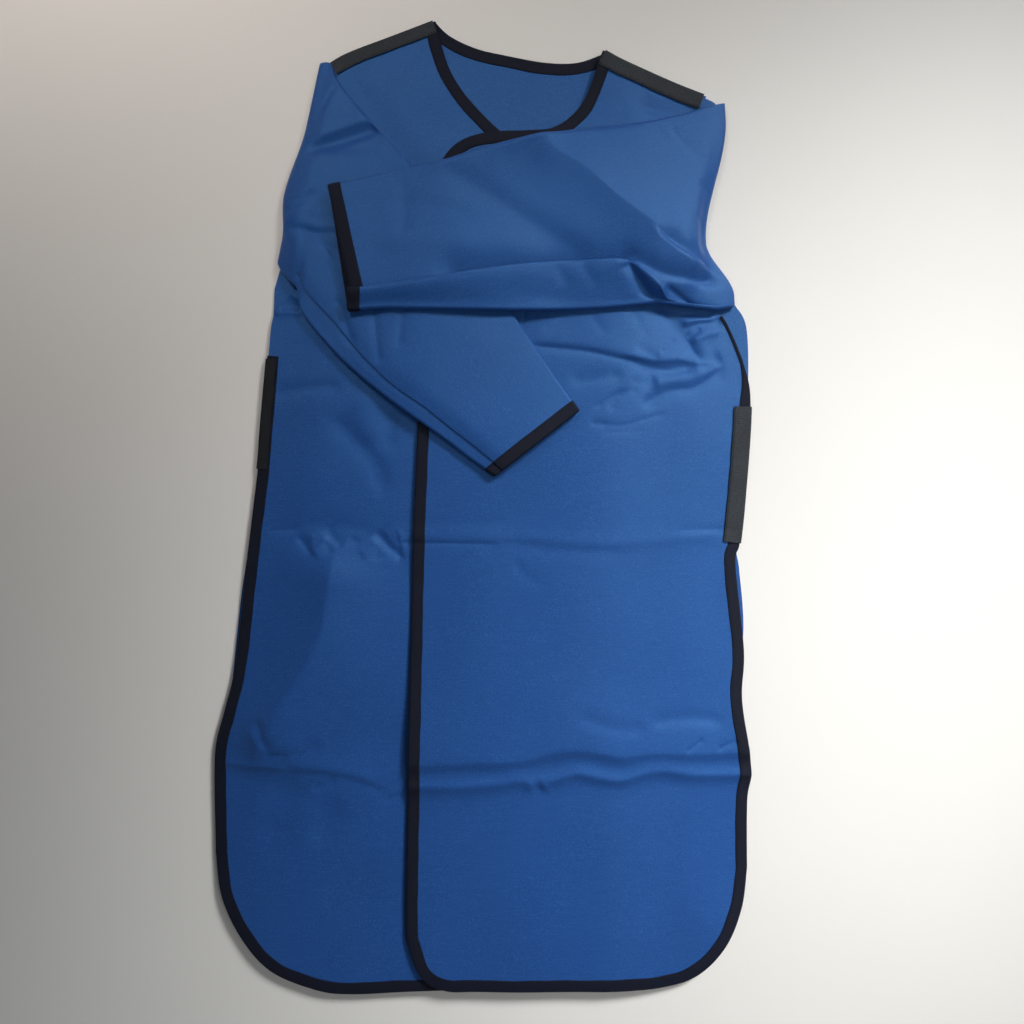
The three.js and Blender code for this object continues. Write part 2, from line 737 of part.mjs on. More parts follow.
// The origin lies on the surface, under the middle of the apron
const middle = new THREE.Box3().setFromObject(apron).getCenter(new THREE.Vector3());
apron.position.set(-middle.x, -middle.y, FLOOR);

export default apron;
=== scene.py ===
import math

import bpy
import numpy as np
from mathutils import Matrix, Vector
from mathutils.geometry import delaunay_2d_cdt


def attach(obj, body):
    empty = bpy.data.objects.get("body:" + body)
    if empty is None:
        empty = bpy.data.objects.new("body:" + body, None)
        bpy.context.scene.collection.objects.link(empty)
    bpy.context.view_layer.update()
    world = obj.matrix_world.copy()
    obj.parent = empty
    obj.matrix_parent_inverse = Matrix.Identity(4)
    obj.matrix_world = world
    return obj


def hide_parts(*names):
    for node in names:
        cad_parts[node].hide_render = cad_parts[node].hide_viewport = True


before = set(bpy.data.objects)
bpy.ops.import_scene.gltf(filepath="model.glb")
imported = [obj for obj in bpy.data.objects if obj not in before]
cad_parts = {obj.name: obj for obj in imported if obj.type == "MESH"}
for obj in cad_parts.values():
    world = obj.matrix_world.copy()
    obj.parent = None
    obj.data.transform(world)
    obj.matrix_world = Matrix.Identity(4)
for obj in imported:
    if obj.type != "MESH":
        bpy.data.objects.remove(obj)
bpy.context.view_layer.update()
print("frame loaded:", len(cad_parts), "nodes")

# Tables are in millimetres where no note says otherwise, wearer's left on +x, neck on +y
mm = 0.001
tiny = 1e-9
tableMiddle = np.array([-0.635, 0.513])  # middle of the tables' outline, at the frame's origin

cloth = {"back": 3.0, "front": 2.4, "sleeve": 1.5, "gap": 0.3}
lie = {
    "edge": 4.6, "rise": 5.0, "riseSpan": 90.0,  # fronts lie down at their seams and rise over the body space
    "neckLift": 1.3, "neckFrom": 490.0, "neckSpan": 45.0,
    "over": 5.85, "overEnd": 135.0, "overFade": 100.0,  # the left front lies over the right one
    "rightRipple": (5, 120, 0.5), "leftRipple": (8, 130, 0.45),  # seed, wave length, height
    "landing": 0.8,  # how softly cloth meets what it lies on
}

shoulderLeft = [(142, 545), (169, 531), (221, 511), (268, 493)]
shoulderRight = [(-188, 530), (-162, 544), (-95, 569), (-58, 583)]

backEdges = {
    "neck": [(-58, 583), (-41, 567), (-9, 552), (30, 543), (75, 535), (112, 535), (142, 545)],
    "shoulderLeft": shoulderLeft,
    "armholeLeft": [(268, 493), (281, 485), (287, 462), (280, 400), (264, 322), (268, 290), (286, 258),
                    (304, 243)],
    "sideLeft": [(304, 243), (318, 213), (319, 124), (311, 12), (305, -45), (309, -77), (314, -150),
                 (305, -230), (305, -434)],
    "hem": [(305, -434), (284, -520), (215, -563), (0, -563), (-215, -563), (-285, -515), (-312, -430)],
    "sideRight": [(-312, -430), (-312, -300), (-298, -143), (-289, -73), (-275, 0), (-270, 43), (-266, 92),
                  (-258, 182), (-254, 262)],
    "armholeRight": [(-254, 262), (-236, 332), (-236, 369), (-205, 452), (-199, 493), (-188, 530)],
    "shoulderRight": shoulderRight,
}
leftEdges = {
    "shoulder": shoulderLeft,
    "armhole": [(268, 493), (251, 430), (240, 350), (232, 305), (252, 254), (286, 229)],
    "side": [(286, 229), (295, 213), (312, 170), (320, 122), (313, 11), (307, -45), (302, -70), (312, -172),
             (309, -233), (320, -313), (316, -354), (316, -434)],
    "hem": [(309, -480), (289, -526), (257, -559), (219, -573), (160, -576), (0, -576), (-45, -575)],
    "front": [(-73, -560), (-88, -525), (-92, -485), (-89, -296), (-83, -14), (-70, 246), (-59, 380)],
    "neck": [(-48, 413), (-27, 434), (6, 444), (50, 446), (82, 450), (108, 469), (124, 494), (142, 545)],
}
rightEdges = {
    "neck": [(-58, 583), (-51, 553), (-40, 522), (-18, 489), (23, 448), (68, 420), (100, 394)],
    "front": [(117, 355), (120, 300), (111, 105), (101, -232), (99, -480), (96, -525), (80, -560)],
    "hem": [(52, -574), (0, -576), (-85, -579), (-157, -582), (-201, -577), (-253, -556), (-289, -517),
            (-314, -465)],
    "side": [(-322, -415), (-323, -300), (-311, -245), (-299, -192), (-285, -67), (-272, 43), (-268, 92),
             (-260, 181)],
    "armhole": [(-260, 181), (-253, 232), (-226, 262), (-206, 300), (-203, 345), (-186, 400), (-172, 450),
                (-188, 530)],
    "shoulder": shoulderRight,
}


def ease(value):
    value = np.clip(value, 0, 1)
    return value * value * (3 - 2 * value)


# A smooth line through rows of any width, then points at equal steps along it
def smoothLine(rows, step=4.0, fine=24):
    rows = np.array(rows, float)
    before = np.vstack([rows[:1], rows[:-2]])[:, None]
    after = np.vstack([rows[2:], rows[-1:]])[:, None]
    start, end = rows[:-1, None], rows[1:, None]
    share = np.linspace(0, 1, fine, endpoint=False)[None, :, None]
    inSlope, outSlope = (end - before) / 2, (after - start) / 2
    curve = ((2 * start - 2 * end + inSlope + outSlope) * share ** 3
             + (3 * end - 3 * start - 2 * inSlope - outSlope) * share ** 2 + inSlope * share + start)
    curve = np.vstack([curve.reshape(-1, rows.shape[1]), rows[-1:]])
    return evenSteps(curve, step)


def evenSteps(line, step):
    run = runAlong(line)
    count = max(2, int(round(run[-1] / step)))
    wanted = np.linspace(0, run[-1], count + 1)
    return np.column_stack([np.interp(wanted, run, line[:, k]) for k in range(line.shape[1])])


def runAlong(line):
    return np.concatenate([[0], np.cumsum(np.linalg.norm(np.diff(line[:, :2], axis=0), axis=1))])


def joinLines(*lines):
    return np.vstack([lines[0]] + [line[1:] for line in lines[1:]])


# Sideways direction of each point, outwards on a clockwise edge
def sideways(line):
    along = np.gradient(line[:, :2], axis=0)
    along /= np.linalg.norm(along, axis=1)[:, None]
    return np.column_stack([-along[:, 1], along[:, 0]])


def between(line, axis, low, high):
    return line[(line[:, axis] >= low) & (line[:, axis] <= high)]


# Signed distance from spots to a broken line (left of travel is positive) and the run to the nearest point
def measure(line, spots):
    best = np.full(len(spots), np.inf)
    side = np.zeros(len(spots))
    run = np.zeros(len(spots))
    done = 0.0
    for start, end in zip(line[:-1], line[1:]):
        along = end - start
        length = np.hypot(*along)
        offset = spots - start
        share = np.clip(offset @ along / length ** 2, 0, 1)
        away = offset - share[:, None] * along
        distance = np.hypot(away[:, 0], away[:, 1])
        near = distance < best
        best[near] = distance[near]
        run[near] = done + share[near] * length
        side[near] = np.sign(along[0] * offset[near, 1] - along[1] * offset[near, 0])
        done += length
    return best * side, run, done


# Folds add up: each has a height along its line, two half widths, a sharpness and a fade at its ends
def foldField(folds, spots):
    total = np.zeros(len(spots))
    for height, left, right, sharp, fade, rows in folds:
        line = smoothLine(rows, step=6.0)
        reach = 4 * max(left, right)  # by there the fold has died out
        close = np.all((spots > line.min(0) - reach) & (spots < line.max(0) + reach), axis=1)
        if not close.any():
            continue
        distance, run, length = measure(line, spots[close])
        width = np.where(distance > 0, left, right)
        ends = ease(run / fade) * ease((length - run) / fade)
        total[close] += height * np.exp(-np.abs(distance / width) ** sharp) * ends
    return total


# Low waves in all directions
def ripple(spots, seed, wave, height, waves=9):
    draw = np.random.default_rng(seed)
    total = np.zeros(len(spots))
    for _ in range(waves):
        angle, length, phase = draw.uniform(0, 2 * np.pi), wave * draw.uniform(0.7, 1.7), draw.uniform(0, 6.3)
        total += np.sin(2 * np.pi * (spots @ [np.cos(angle), np.sin(angle)]) / length + phase)
    return height * total / math.sqrt(waves)


# Edges as smooth lines
backLines = {name: smoothLine(rows) for name, rows in backEdges.items()}
backOutline = joinLines(*backLines.values())
leftSide = smoothLine(leftEdges["side"])
leftBound = joinLines(leftSide, smoothLine(leftEdges["side"][-1:] + leftEdges["hem"] + leftEdges["front"]
                                           + leftEdges["neck"]))
leftShoulder, leftArmhole = smoothLine(leftEdges["shoulder"]), smoothLine(leftEdges["armhole"])
rightSide = smoothLine(rightEdges["side"])
rightBound = joinLines(smoothLine(rightEdges["neck"] + rightEdges["front"] + rightEdges["hem"]
                                  + rightEdges["side"][:1]), rightSide)
rightShoulder, rightArmhole = smoothLine(rightEdges["shoulder"]), smoothLine(rightEdges["armhole"])
leftSeams = joinLines(smoothLine(leftEdges["neck"][-2:]), leftShoulder, leftArmhole, leftSide)
rightSeams = joinLines(rightSide, rightArmhole, rightShoulder, smoothLine(rightEdges["neck"][:5]))

# Folds: height, half width left of travel, right of travel, sharpness, fade at the ends, line
leftFrontFolds = [
    # the sharp crease across the lower front, with its troughs
    (6.4, 80, 13, 1.6, 36, [(-130, -306), (-52, -303), (-5, -301), (25, -301), (56, -297), (81, -290),
                            (109, -287), (139, -290), (163, -295), (187, -292), (210, -291), (258, -293),
                            (345, -291)]),
    (4.0, 12, 10, 1.6, 14, [(-112, -332), (-52, -332), (-17, -331), (19, -328), (37, -325), (49, -325),
                            (57, -329), (67, -335)]),
    (4.0, 11, 9, 1.6, 12, [(63, -335), (73, -327), (91, -321), (111, -316), (139, -321), (163, -324),
                           (187, -318), (210, -314), (234, -317), (258, -320), (330, -320)]),
    (-1.1, 2.5, 4, 1.2, 6, [(239, -293), (250, -285), (262, -275)]),
    (-1.1, 3, 4, 1.2, 6, [(277, -291), (290, -284), (304, -279)]),
    (-1.6, 9, 9, 1.8, 20, [(193, -258), (222, -253), (258, -252), (292, -258)]),
    (-1.2, 9, 9, 1.8, 18, [(109, -246), (139, -258), (175, -265), (196, -256)]),
    # the old fold across the waist
    (-1.5, 2.5, 4, 1.1, 20, [(-110, -43), (-17, -44), (22, -45)]),
    (0.9, 11, 7, 1.5, 30, [(-110, -36), (0, -37), (60, -38), (150, -44), (296, -33)]),
    (-0.8, 7, 9, 1.5, 30, [(16, -41), (54, -47), (91, -52), (178, -56)]),
    (-0.8, 4, 6, 1.3, 20, [(226, -29), (262, -27), (310, -28)]),
    (-0.8, 7, 7, 1.5, 16, [(36, -58), (45, -78), (72, -95)]),
    (-0.6, 6, 7, 1.4, 22, [(-110, -18), (-16, -20), (36, -15)]),
    (-4.2, 12, 9, 1.6, 18, [(180, 485), (205, 475), (236, 469), (264, 467)]),
    # gathers below the left underarm
    (1.4, 22, 4, 1.6, 16, [(53, 197), (91, 194), (126, 190), (167, 181), (196, 176)]),
    (-1.8, 3.5, 5, 1.3, 18, [(53, 191), (91, 188), (126, 184), (167, 175), (190, 171)]),
    (2.4, 14, 4, 1.5, 22, [(160, 182), (185, 177), (210, 174), (232, 176), (250, 173), (284, 170)]),
    (-3.6, 8, 12, 1.6, 20, [(172, 174), (198, 166), (216, 163), (236, 165), (262, 168)]),
    (2.2, 10, 10, 1.7, 14, [(198, 142), (219, 150), (245, 155), (267, 162), (288, 174)]),
    (-2.6, 7, 9, 1.5, 18, [(185, 116), (200, 128), (214, 136), (229, 140), (251, 142), (271, 154),
                           (293, 169)]),
    (-4.4, 6, 16, 1.4, 16, [(212, 250), (221, 235), (232, 218), (240, 206), (249, 190), (262, 170)]),
    (-3.0, 11, 9, 1.8, 12, [(252, 170), (268, 172), (288, 178)]),
    (-2.2, 3, 3, 1.3, 6, [(226, 227), (245, 230), (275, 227)]),
    (2.2, 4, 4, 1.6, 8, [(236, 219), (257, 224), (279, 224)]),
    (-2.2, 3, 4, 1.3, 6, [(238, 211), (257, 219), (286, 223)]),
    (-1.7, 2.5, 3, 1.2, 4, [(245, 202), (254, 209), (260, 215)]),
    (1.8, 5, 5, 1.6, 8, [(248, 196), (264, 205), (286, 210)]),
    (-1.1, 4, 5, 1.4, 14, [(126, 114), (141, 122), (154, 131), (172, 141)]),
    (-1.2, 5, 7, 1.5, 12, [(147, 110), (156, 124), (170, 136), (188, 141)]),
    (-1.5, 9, 7, 1.7, 10, [(172, 152), (190, 147), (209, 154)]),
    (-0.8, 3, 4, 1.3, 8, [(124, 100), (138, 97), (148, 98)]),
    (-0.8, 3, 4.5, 1.3, 18, [(127, 103), (150, 97), (168, 97), (191, 104), (224, 114)]),
    (-0.5, 3, 4, 1.3, 14, [(136, 88), (174, 89), (195, 95)]),
    (-1.4, 10, 8, 1.8, 16, [(98, 147), (138, 153), (169, 159)]),
    (-0.7, 5, 6, 1.6, 14, [(122, 235), (134, 219), (148, 200)]),
    (-0.8, 5, 7, 1.6, 16, [(169, 242), (183, 222), (200, 196)]),
    (-1.4, 7, 5, 1.6, 10, [(178, 192), (198, 181), (212, 176)]),
    (-1, 2.5, 3, 1.2, 5, [(210, 183), (222, 191), (229, 202)]),
    (-1, 3, 3, 1.1, 6, [(49, 235), (48, 222), (45, 206)]),
]
rightFrontFolds = [
    # buckles at the waist
    (-1.2, 3, 4, 1.3, 12, [(-262, -29), (-237, -28), (-215, -26)]),
    (-0.8, 10, 8, 1.8, 20, [(-255, -25), (-213, -21), (-178, -23), (-129, -29)]),
    (-2.2, 8, 5, 1.5, 8, [(-225, -34), (-213, -47), (-203, -58)]),
    (1.4, 6, 5, 1.5, 7, [(-206, -30), (-204, -44), (-203, -57)]),
    (2.0, 8, 7, 1.5, 7, [(-185, -35), (-196, -47), (-206, -58)]),
    (-1.4, 6, 8, 1.5, 7, [(-190, -38), (-185, -48), (-180, -60)]),
    (-1.8, 8, 6, 1.5, 8, [(-190, -22), (-180, -36), (-167, -50)]),
    (1.3, 7, 7, 1.5, 8, [(-124, -41), (-135, -50), (-148, -59)]),
    (-0.9, 6, 7, 1.5, 6, [(-128, -42), (-128, -54), (-126, -66)]),
    (-2.6, 9, 6, 1.5, 8, [(-131, -28), (-114, -47), (-94, -64)]),
    (1.0, 4, 4, 1.5, 6, [(-119, -26), (-112, -38), (-102, -51)]),
    (1.4, 6, 4, 1.5, 8, [(-101, -26), (-98, -44), (-95, -63)]),
    (-0.9, 5, 6, 1.5, 6, [(-162, -35), (-155, -41), (-147, -47)]),
    # the long knee down the side, left of which the cloth falls away
    (15, 58, 34, 1.38, 75, [(-174, -20), (-177, -52), (-183, -100), (-191, -148), (-209, -186), (-232, -222),
                            (-253, -258), (-270, -294), (-284, -333)]),
    (-2.4, 8, 7, 1.6, 14, [(-270, -250), (-264, -269), (-256, -295)]),
    (1.0, 5, 6, 1.5, 12, [(-280, -260), (-272, -276), (-258, -294)]),
    (-1.4, 4, 5, 1.4, 8, [(-261, -292), (-249, -296), (-231, -294)]),
    (-1.6, 9, 8, 1.7, 20, [(-237, -304), (-219, -296), (-204, -288), (-188, -279)]),
    (1.7, 7, 6, 1.4, 18, [(-317, -307), (-285, -309), (-255, -310), (-229, -312)]),
    (1.6, 12, 9, 1.5, 24, [(-240, -310), (-207, -311), (-172, -316), (-145, -322), (-122, -331)]),
    (-1.1, 5, 9, 1.4, 26, [(-235, -319), (-207, -318), (-172, -323), (-148, -330), (-130, -337),
                           (-114, -349)]),
    (-1.2, 6, 6, 1.6, 10, [(-207, -342), (-190, -332), (-174, -324)]),
    (-1.0, 5, 6, 1.5, 12, [(-124, -354), (-108, -349), (-91, -342)]),
    (-3.2, 22, 24, 2.0, 46, [(-222, -300), (-239, -350), (-249, -380), (-274, -420)]),
    (-2.4, 17, 18, 2.0, 36, [(-170, -340), (-193, -392), (-207, -414)]),
    # the dip along the right sleeve's upper edge
    (-5.0, 24, 14, 1.6, 26, [(-192, 540), (-170, 508), (-145, 474), (-115, 440), (-85, 404), (-55, 365)]),
    # soft waves below the right sleeve
    (-2, 9, 9, 1.7, 18, [(-258, 133), (-219, 141), (-166, 145)]),
    (2.2, 16, 16, 2, 24, [(-150, 145), (-141, 109), (-133, 67)]),
    (-2.2, 12, 12, 1.9, 24, [(-188, 113), (-160, 85), (-130, 49), (-119, 8)]),
    (-1.8, 10, 10, 1.9, 20, [(-107, 121), (-112, 91), (-117, 61)]),
    # crumpled cloth below the right underarm
    (2.4, 3, 3, 1.3, 4, [(-251, 245), (-244, 251), (-235, 257), (-238, 271)]),
    (2.4, 3, 3, 1.3, 4, [(-239, 259), (-229, 253), (-217, 245)]),
    (-2.6, 5, 5, 1.5, 5, [(-250, 262), (-242, 262), (-233, 267)]),
    (-2.4, 4, 4, 1.4, 5, [(-247, 238), (-235, 242), (-220, 238)]),
    (2, 4, 4, 1.4, 5, [(-252, 231), (-235, 233), (-217, 231)]),
]


def frontLevel(seams, spots):
    distance = np.abs(measure(seams, spots)[0])
    overNeck = lie["neckLift"] * ease((spots[:, 1] - lie["neckFrom"]) / lie["neckSpan"])
    return lie["edge"] + overNeck + lie["rise"] * ease(distance / lie["riseSpan"])


# Cloth stays above what it lies on, with a soft landing
def landed(heights, floorLevel):
    over = heights - floorLevel
    return floorLevel + (over + np.sqrt(over * over + lie["landing"])) / 2


def rightFolds(spots):
    # where the left front lies on top, the right one gives way under its creases
    return foldField(rightFrontFolds, spots) + np.minimum(foldField(leftFrontFolds, spots), 0)


def leftFolds(spots):
    return foldField(leftFrontFolds, spots)


def rightLower(spots):
    lies = frontLevel(rightSeams, spots) + rightFolds(spots) + ripple(spots, *lie["rightRipple"])
    return landed(lies, cloth["back"] + cloth["gap"])


def leftLower(spots):
    over = lie["over"] * (1 - ease((spots[:, 0] - lie["overEnd"]) / lie["overFade"]))
    lies = frontLevel(leftSeams, spots) + over + leftFolds(spots) + ripple(spots, *lie["leftRipple"])
    return landed(lies, cloth["back"] + cloth["gap"])


def rightUpper(spots):
    return rightLower(spots) + cloth["front"]


def leftUpper(spots):
    return leftLower(spots) + cloth["front"]


def level(height):
    return lambda spots: np.full(len(spots), float(height))


# Meshes
# Quads of a grid whose rows close round, and whose ends join too where closed
def ringQuads(stations, around, closed=False):
    faces = []
    for k in range(stations if closed else stations - 1):
        here, there = k * around, (k + 1) % stations * around
        for j in range(around):
            after = (j + 1) % around
            faces.append((here + j, here + after, there + after, there + j))
    return faces


def makePiece(name, spots, faces, materials, faceMaterials=None, attributes=None, sharp=50):
    spots = np.array(spots, float)
    spots[:, :2] -= tableMiddle
    mesh = bpy.data.meshes.new(name)
    mesh.from_pydata((spots * mm).tolist(), [], [list(face) for face in faces])
    for material in materials:
        mesh.materials.append(material)
    if faceMaterials is not None:
        mesh.polygons.foreach_set("material_index", np.array(faceMaterials, np.int32))
    for key, values in (attributes or {}).items():
        layer = mesh.attributes.new(key, "FLOAT", "POINT")
        layer.data.foreach_set("value", np.array(values, np.float32))
    mesh.shade_smooth()
    mesh.set_sharp_from_angle(angle=math.radians(sharp))
    mesh.validate()
    piece = bpy.data.objects.new(name, mesh)
    bpy.context.scene.collection.objects.link(piece)
    return piece


def insideOf(outline, spots):
    inside = np.zeros(len(spots), bool)
    for (x0, y0), (x1, y1) in zip(outline, np.roll(outline, -1, axis=0)):
        crosses = (y0 > spots[:, 1]) != (y1 > spots[:, 1])
        if y0 != y1:
            inside ^= crosses & (spots[:, 0] < x0 + (spots[:, 1] - y0) * (x1 - x0) / (y1 - y0))
    return inside


panelMesh = {
    "back": 9.0, "front": 4.4, "underside": 1.6,  # spacing, and how much wider it is underneath
    "fine": 1.8, "steep": 0.09,  # spacing where folds are steeper than this
    "inset": 1.3, "clear": 0.6,  # cloth ends inside its tape, inner points keep this share off its edge
}


def hexGrid(outline, spacing):
    low, high = outline.min(0), outline.max(0)
    rows = np.arange(low[1], high[1], spacing * math.sqrt(3) / 2)
    spots = np.vstack([np.column_stack([xs, np.full(len(xs), y)])
                       for k, y in enumerate(rows)
                       for xs in [np.arange(low[0] + (k % 2) * spacing / 2, high[0], spacing)]])
    spots = spots[insideOf(outline, spots)]
    ring = np.vstack([outline, outline[:1]])
    return spots[np.abs(measure(ring, spots)[0]) > panelMesh["clear"] * spacing]


# Triangles inside an outline, finer where the folds are steep
def fillOutline(outline, spacing, folds=None):
    spots = hexGrid(outline, spacing)
    if folds:
        close, steep = hexGrid(outline, panelMesh["fine"]), panelMesh["steep"]
        spots = np.vstack([spots[slope(folds, spots) <= steep], close[slope(folds, close) > steep]])
    every = np.vstack([outline, spots])
    edges = [(k, (k + 1) % len(outline)) for k in range(len(outline))]
    insideOnly, closest = 1, 1e-5
    found = delaunay_2d_cdt([Vector(spot) for spot in every], edges, [], insideOnly, closest)
    return np.array([tuple(spot) for spot in found[0]]), np.array([tuple(face) for face in found[2]])


def slope(folds, spots):
    here = folds(spots)
    return np.hypot(folds(spots + [1, 0]) - here, folds(spots + [0, 1]) - here)


def rimEdges(faces):
    edges = np.vstack([faces[:, [0, 1]], faces[:, [1, 2]], faces[:, [2, 0]]])
    keys = np.sort(edges, axis=1)
    _, first, count = np.unique(keys, axis=0, return_index=True, return_counts=True)
    return edges[first[count == 1]]


def clothPanel(name, outline, spacing, lower, thickness, folds=None):
    around = np.vstack([outline[-1:], outline, outline[:1]])
    inset = outline - sideways(around)[1:-1] * panelMesh["inset"]
    flat, faces = fillOutline(inset, spacing, folds)
    flatUnder, facesUnder = fillOutline(inset, spacing * panelMesh["underside"])
    count = len(flat)
    spots = np.vstack([np.column_stack([flat, lower(flat) + thickness]),
                       np.column_stack([flatUnder, lower(flatUnder)])])
    rim = rimEdges(faces)
    walls = np.column_stack([rim[:, 1], rim[:, 0], rim[:, 0] + count, rim[:, 1] + count])
    every = faces.tolist() + (facesUnder[:, ::-1] + count).tolist() + walls.tolist()
    return makePiece(name, spots, every, [panelCloth])


# Tape: a closed ring of (inset, which face, lift) swept along an edge, lying on the cloth's two faces
tapeRing = [
    (1.0, "top", 0.25), (0.97, "top", 0.95), (0.85, "top", 1.15), (0.6, "top", 1.25), (0.35, "top", 1.25),
    (0.14, "top", 1.2), (0.06, "top", 1.0), (0.015, "top", 0.5), (0.0, "middle", 0),
    (0.015, "under", 0.5), (0.06, "under", 1.0), (0.14, "under", 1.2), (0.6, "under", 1.2),
    (0.97, "under", 0.95), (1.0, "under", 0.25), (0.12, "under", 0.15), (0.12, "top", 0.15),
]
tapeSize = {
    "reach": 14.0, "step": 2.6,
    "underside": 1.2,  # level that tapes round the back lie under
    "overTape": 1.3,  # bands and elastics lie on the tape
    "wobble": 0.35, "wobbleWaves": (9, 23),  # the inner edge isn't quite even
    "tucked": 0.28, "tuckedRun": 58, "widenRun": 62,  # share of the left tape that shows below the underarm
}
edgeStitch = {"in": 2.0, "pitch": 3.3, "length": 2.5, "thread": 0.55, "lift": 1.15}


def sweepTape(name, line, reach, lower, upper, web, seed, ribs=0.0, ribStep=2.0):
    out, run = sideways(line), runAlong(line)
    short, long = tapeSize["wobbleWaves"]
    wobble = tapeSize["wobble"] * np.sin(run / short + seed) * np.sin(run / long + 2 * seed)
    reach = np.broadcast_to(reach, len(line)) + wobble
    ridge = 1 + ribs * np.sin(2 * np.pi * run / ribStep)
    ring, across = [], []
    for inset, face, lift in tapeRing:
        flat = line - out * (reach * inset)[:, None]
        top, under = upper(flat), lower(flat)
        heights = {"top": top + lift * ridge, "under": under - lift, "middle": (top + under) / 2}
        ring.append(np.column_stack([flat, heights[face]]))
        across.append(reach * inset * (1 if face == "top" else -1))
    grid = np.stack(ring, axis=1)
    stations, around = grid.shape[:2]
    spots = grid.reshape(-1, 3)
    spots[:, 2] = np.maximum(spots[:, 2], 0.0)
    ends = [tuple(range(around - 1, -1, -1)), tuple((stations - 1) * around + j for j in range(around))]
    faces = ringQuads(stations, around) + ends
    sewn, sewnFaces = stitchRow(line - out * (reach - edgeStitch["in"])[:, None], upper)
    marks = [0] * len(faces) + [1] * len(sewnFaces)
    faces += [tuple(k + len(spots) for k in face) for face in sewnFaces]
    plain = np.zeros(len(sewn))
    attributes = {"tapeRun": np.concatenate([np.repeat(run, around), plain]),
                  "tapeAcross": np.concatenate([np.stack(across, axis=1).ravel(), plain])}
    return makePiece(name, np.vstack([spots, sewn]), faces, [web, thread], marks, attributes)


# Thread: short plump stitches lying on a face along a line
def stitchRow(line, upper):
    line = evenSteps(line, edgeStitch["pitch"])
    along = np.gradient(line, axis=0)
    along /= np.linalg.norm(along, axis=1)[:, None]
    aside = sideways(line)
    long, thick = edgeStitch["length"] / 2, edgeStitch["thread"] / 2
    heights = upper(line) + edgeStitch["lift"]
    # corners lengthways, across and up, in half lengths and half threads
    corners = [(-1, 0, -0.4), (1, 0, -0.4), (-0.45, 1, 0), (0.45, 1, 0), (0.45, -1, 0), (-0.45, -1, 0),
               (-0.45, 0, 1), (0.45, 0, 1)]
    shape = [(0, 2, 6), (2, 3, 7, 6), (3, 1, 7), (1, 4, 7), (4, 5, 6, 7), (5, 0, 6), (0, 5, 4, 1, 3, 2)]
    parts = []
    for lengthways, across, up in corners:
        flat = line + along * lengthways * long + aside * across * thick
        parts.append(np.column_stack([flat, heights + up * thick]))
    spots = np.stack(parts, axis=1).reshape(-1, 3)
    faces = [tuple(k * len(corners) + corner for corner in face) for k in range(len(line)) for face in shape]
    return spots, faces


# Shader maths as expressions
class Wire:
    def __init__(self, tree, socket):
        self.tree, self.socket = tree, socket

    def math(self, operation, *others):
        node = self.tree.nodes.new("ShaderNodeMath")
        node.operation = operation
        for slot, value in zip(node.inputs, (self, *others)):
            plug(self.tree, slot, value)
        return Wire(self.tree, node.outputs[0])

    def __add__(self, other):
        return self.math("ADD", other)

    def __sub__(self, other):
        return self.math("SUBTRACT", other)

    def __rsub__(self, other):
        return self * -1 + other

    def __mul__(self, other):
        return self.math("MULTIPLY", other)

    def sine(self):
        return self.math("SINE")

    __radd__, __rmul__ = __add__, __mul__


def plug(tree, slot, value):
    if isinstance(value, Wire):
        tree.links.new(value.socket, slot)
    else:
        slot.default_value = value


class Shader:
    def __init__(self, name):
        self.material = bpy.data.materials.new(name)
        self.material.use_nodes = True
        self.tree = self.material.node_tree
        self.surface = next(node for node in self.tree.nodes if node.type == "BSDF_PRINCIPLED")

    def node(self, kind, settings=None, sockets=None, out=0):
        made = self.tree.nodes.new("ShaderNode" + kind)
        for key, value in (settings or {}).items():
            setattr(made, key, value)
        for key, value in (sockets or {}).items():
            plug(self.tree, made.inputs[key], value)
        return Wire(self.tree, made.outputs[out])

    # a Mix node's colour sockets share their names, so they go by number
    def blend(self, factor, first, second):
        return self.node("Mix", {"data_type": "RGBA"}, {0: factor, 6: first, 7: second}, out=2)

    def place(self):
        return self.node("TexCoord", out="Object")

    def axis(self, vector, letter):
        return self.node("SeparateXYZ", None, {0: vector}, out=letter)

    def noise(self, vector, scale, detail=2.0):
        return self.node("TexNoise", None, {"Vector": vector, "Scale": scale, "Detail": detail})

    def bump(self, height, strength, distance):
        return self.node("Bump", None, {"Strength": strength, "Distance": distance, "Height": height})

    def finish(self, **sockets):
        for key, value in sockets.items():
            plug(self.tree, self.surface.inputs[key.replace("_", " ")], value)
        return self.material


# Yarn and relief depth in metres, slubs, flecks and clouds per metre
clothLook = {
    "deep": (0.0100, 0.052, 0.220, 1), "light": (0.0135, 0.063, 0.258, 1), "fleck": (0.030, 0.115, 0.380, 1),
    "yarn": 0.0009, "slubs": (60.0, 900.0, 300.0), "flecks": 850.0, "clouds": 9.0,
    "fleckShows": 2.2, "slubShows": 0.7, "weaveShows": 0.05, "relief": 0.35, "reliefDepth": 0.0003,
    "roughness": 0.44, "sheen": 0.10, "sheenRoughness": 0.45, "sheenTint": (0.35, 0.7, 1.0, 1),
    "specular": 0.6, "specularTint": (0.28, 0.66, 1.0, 1),
}


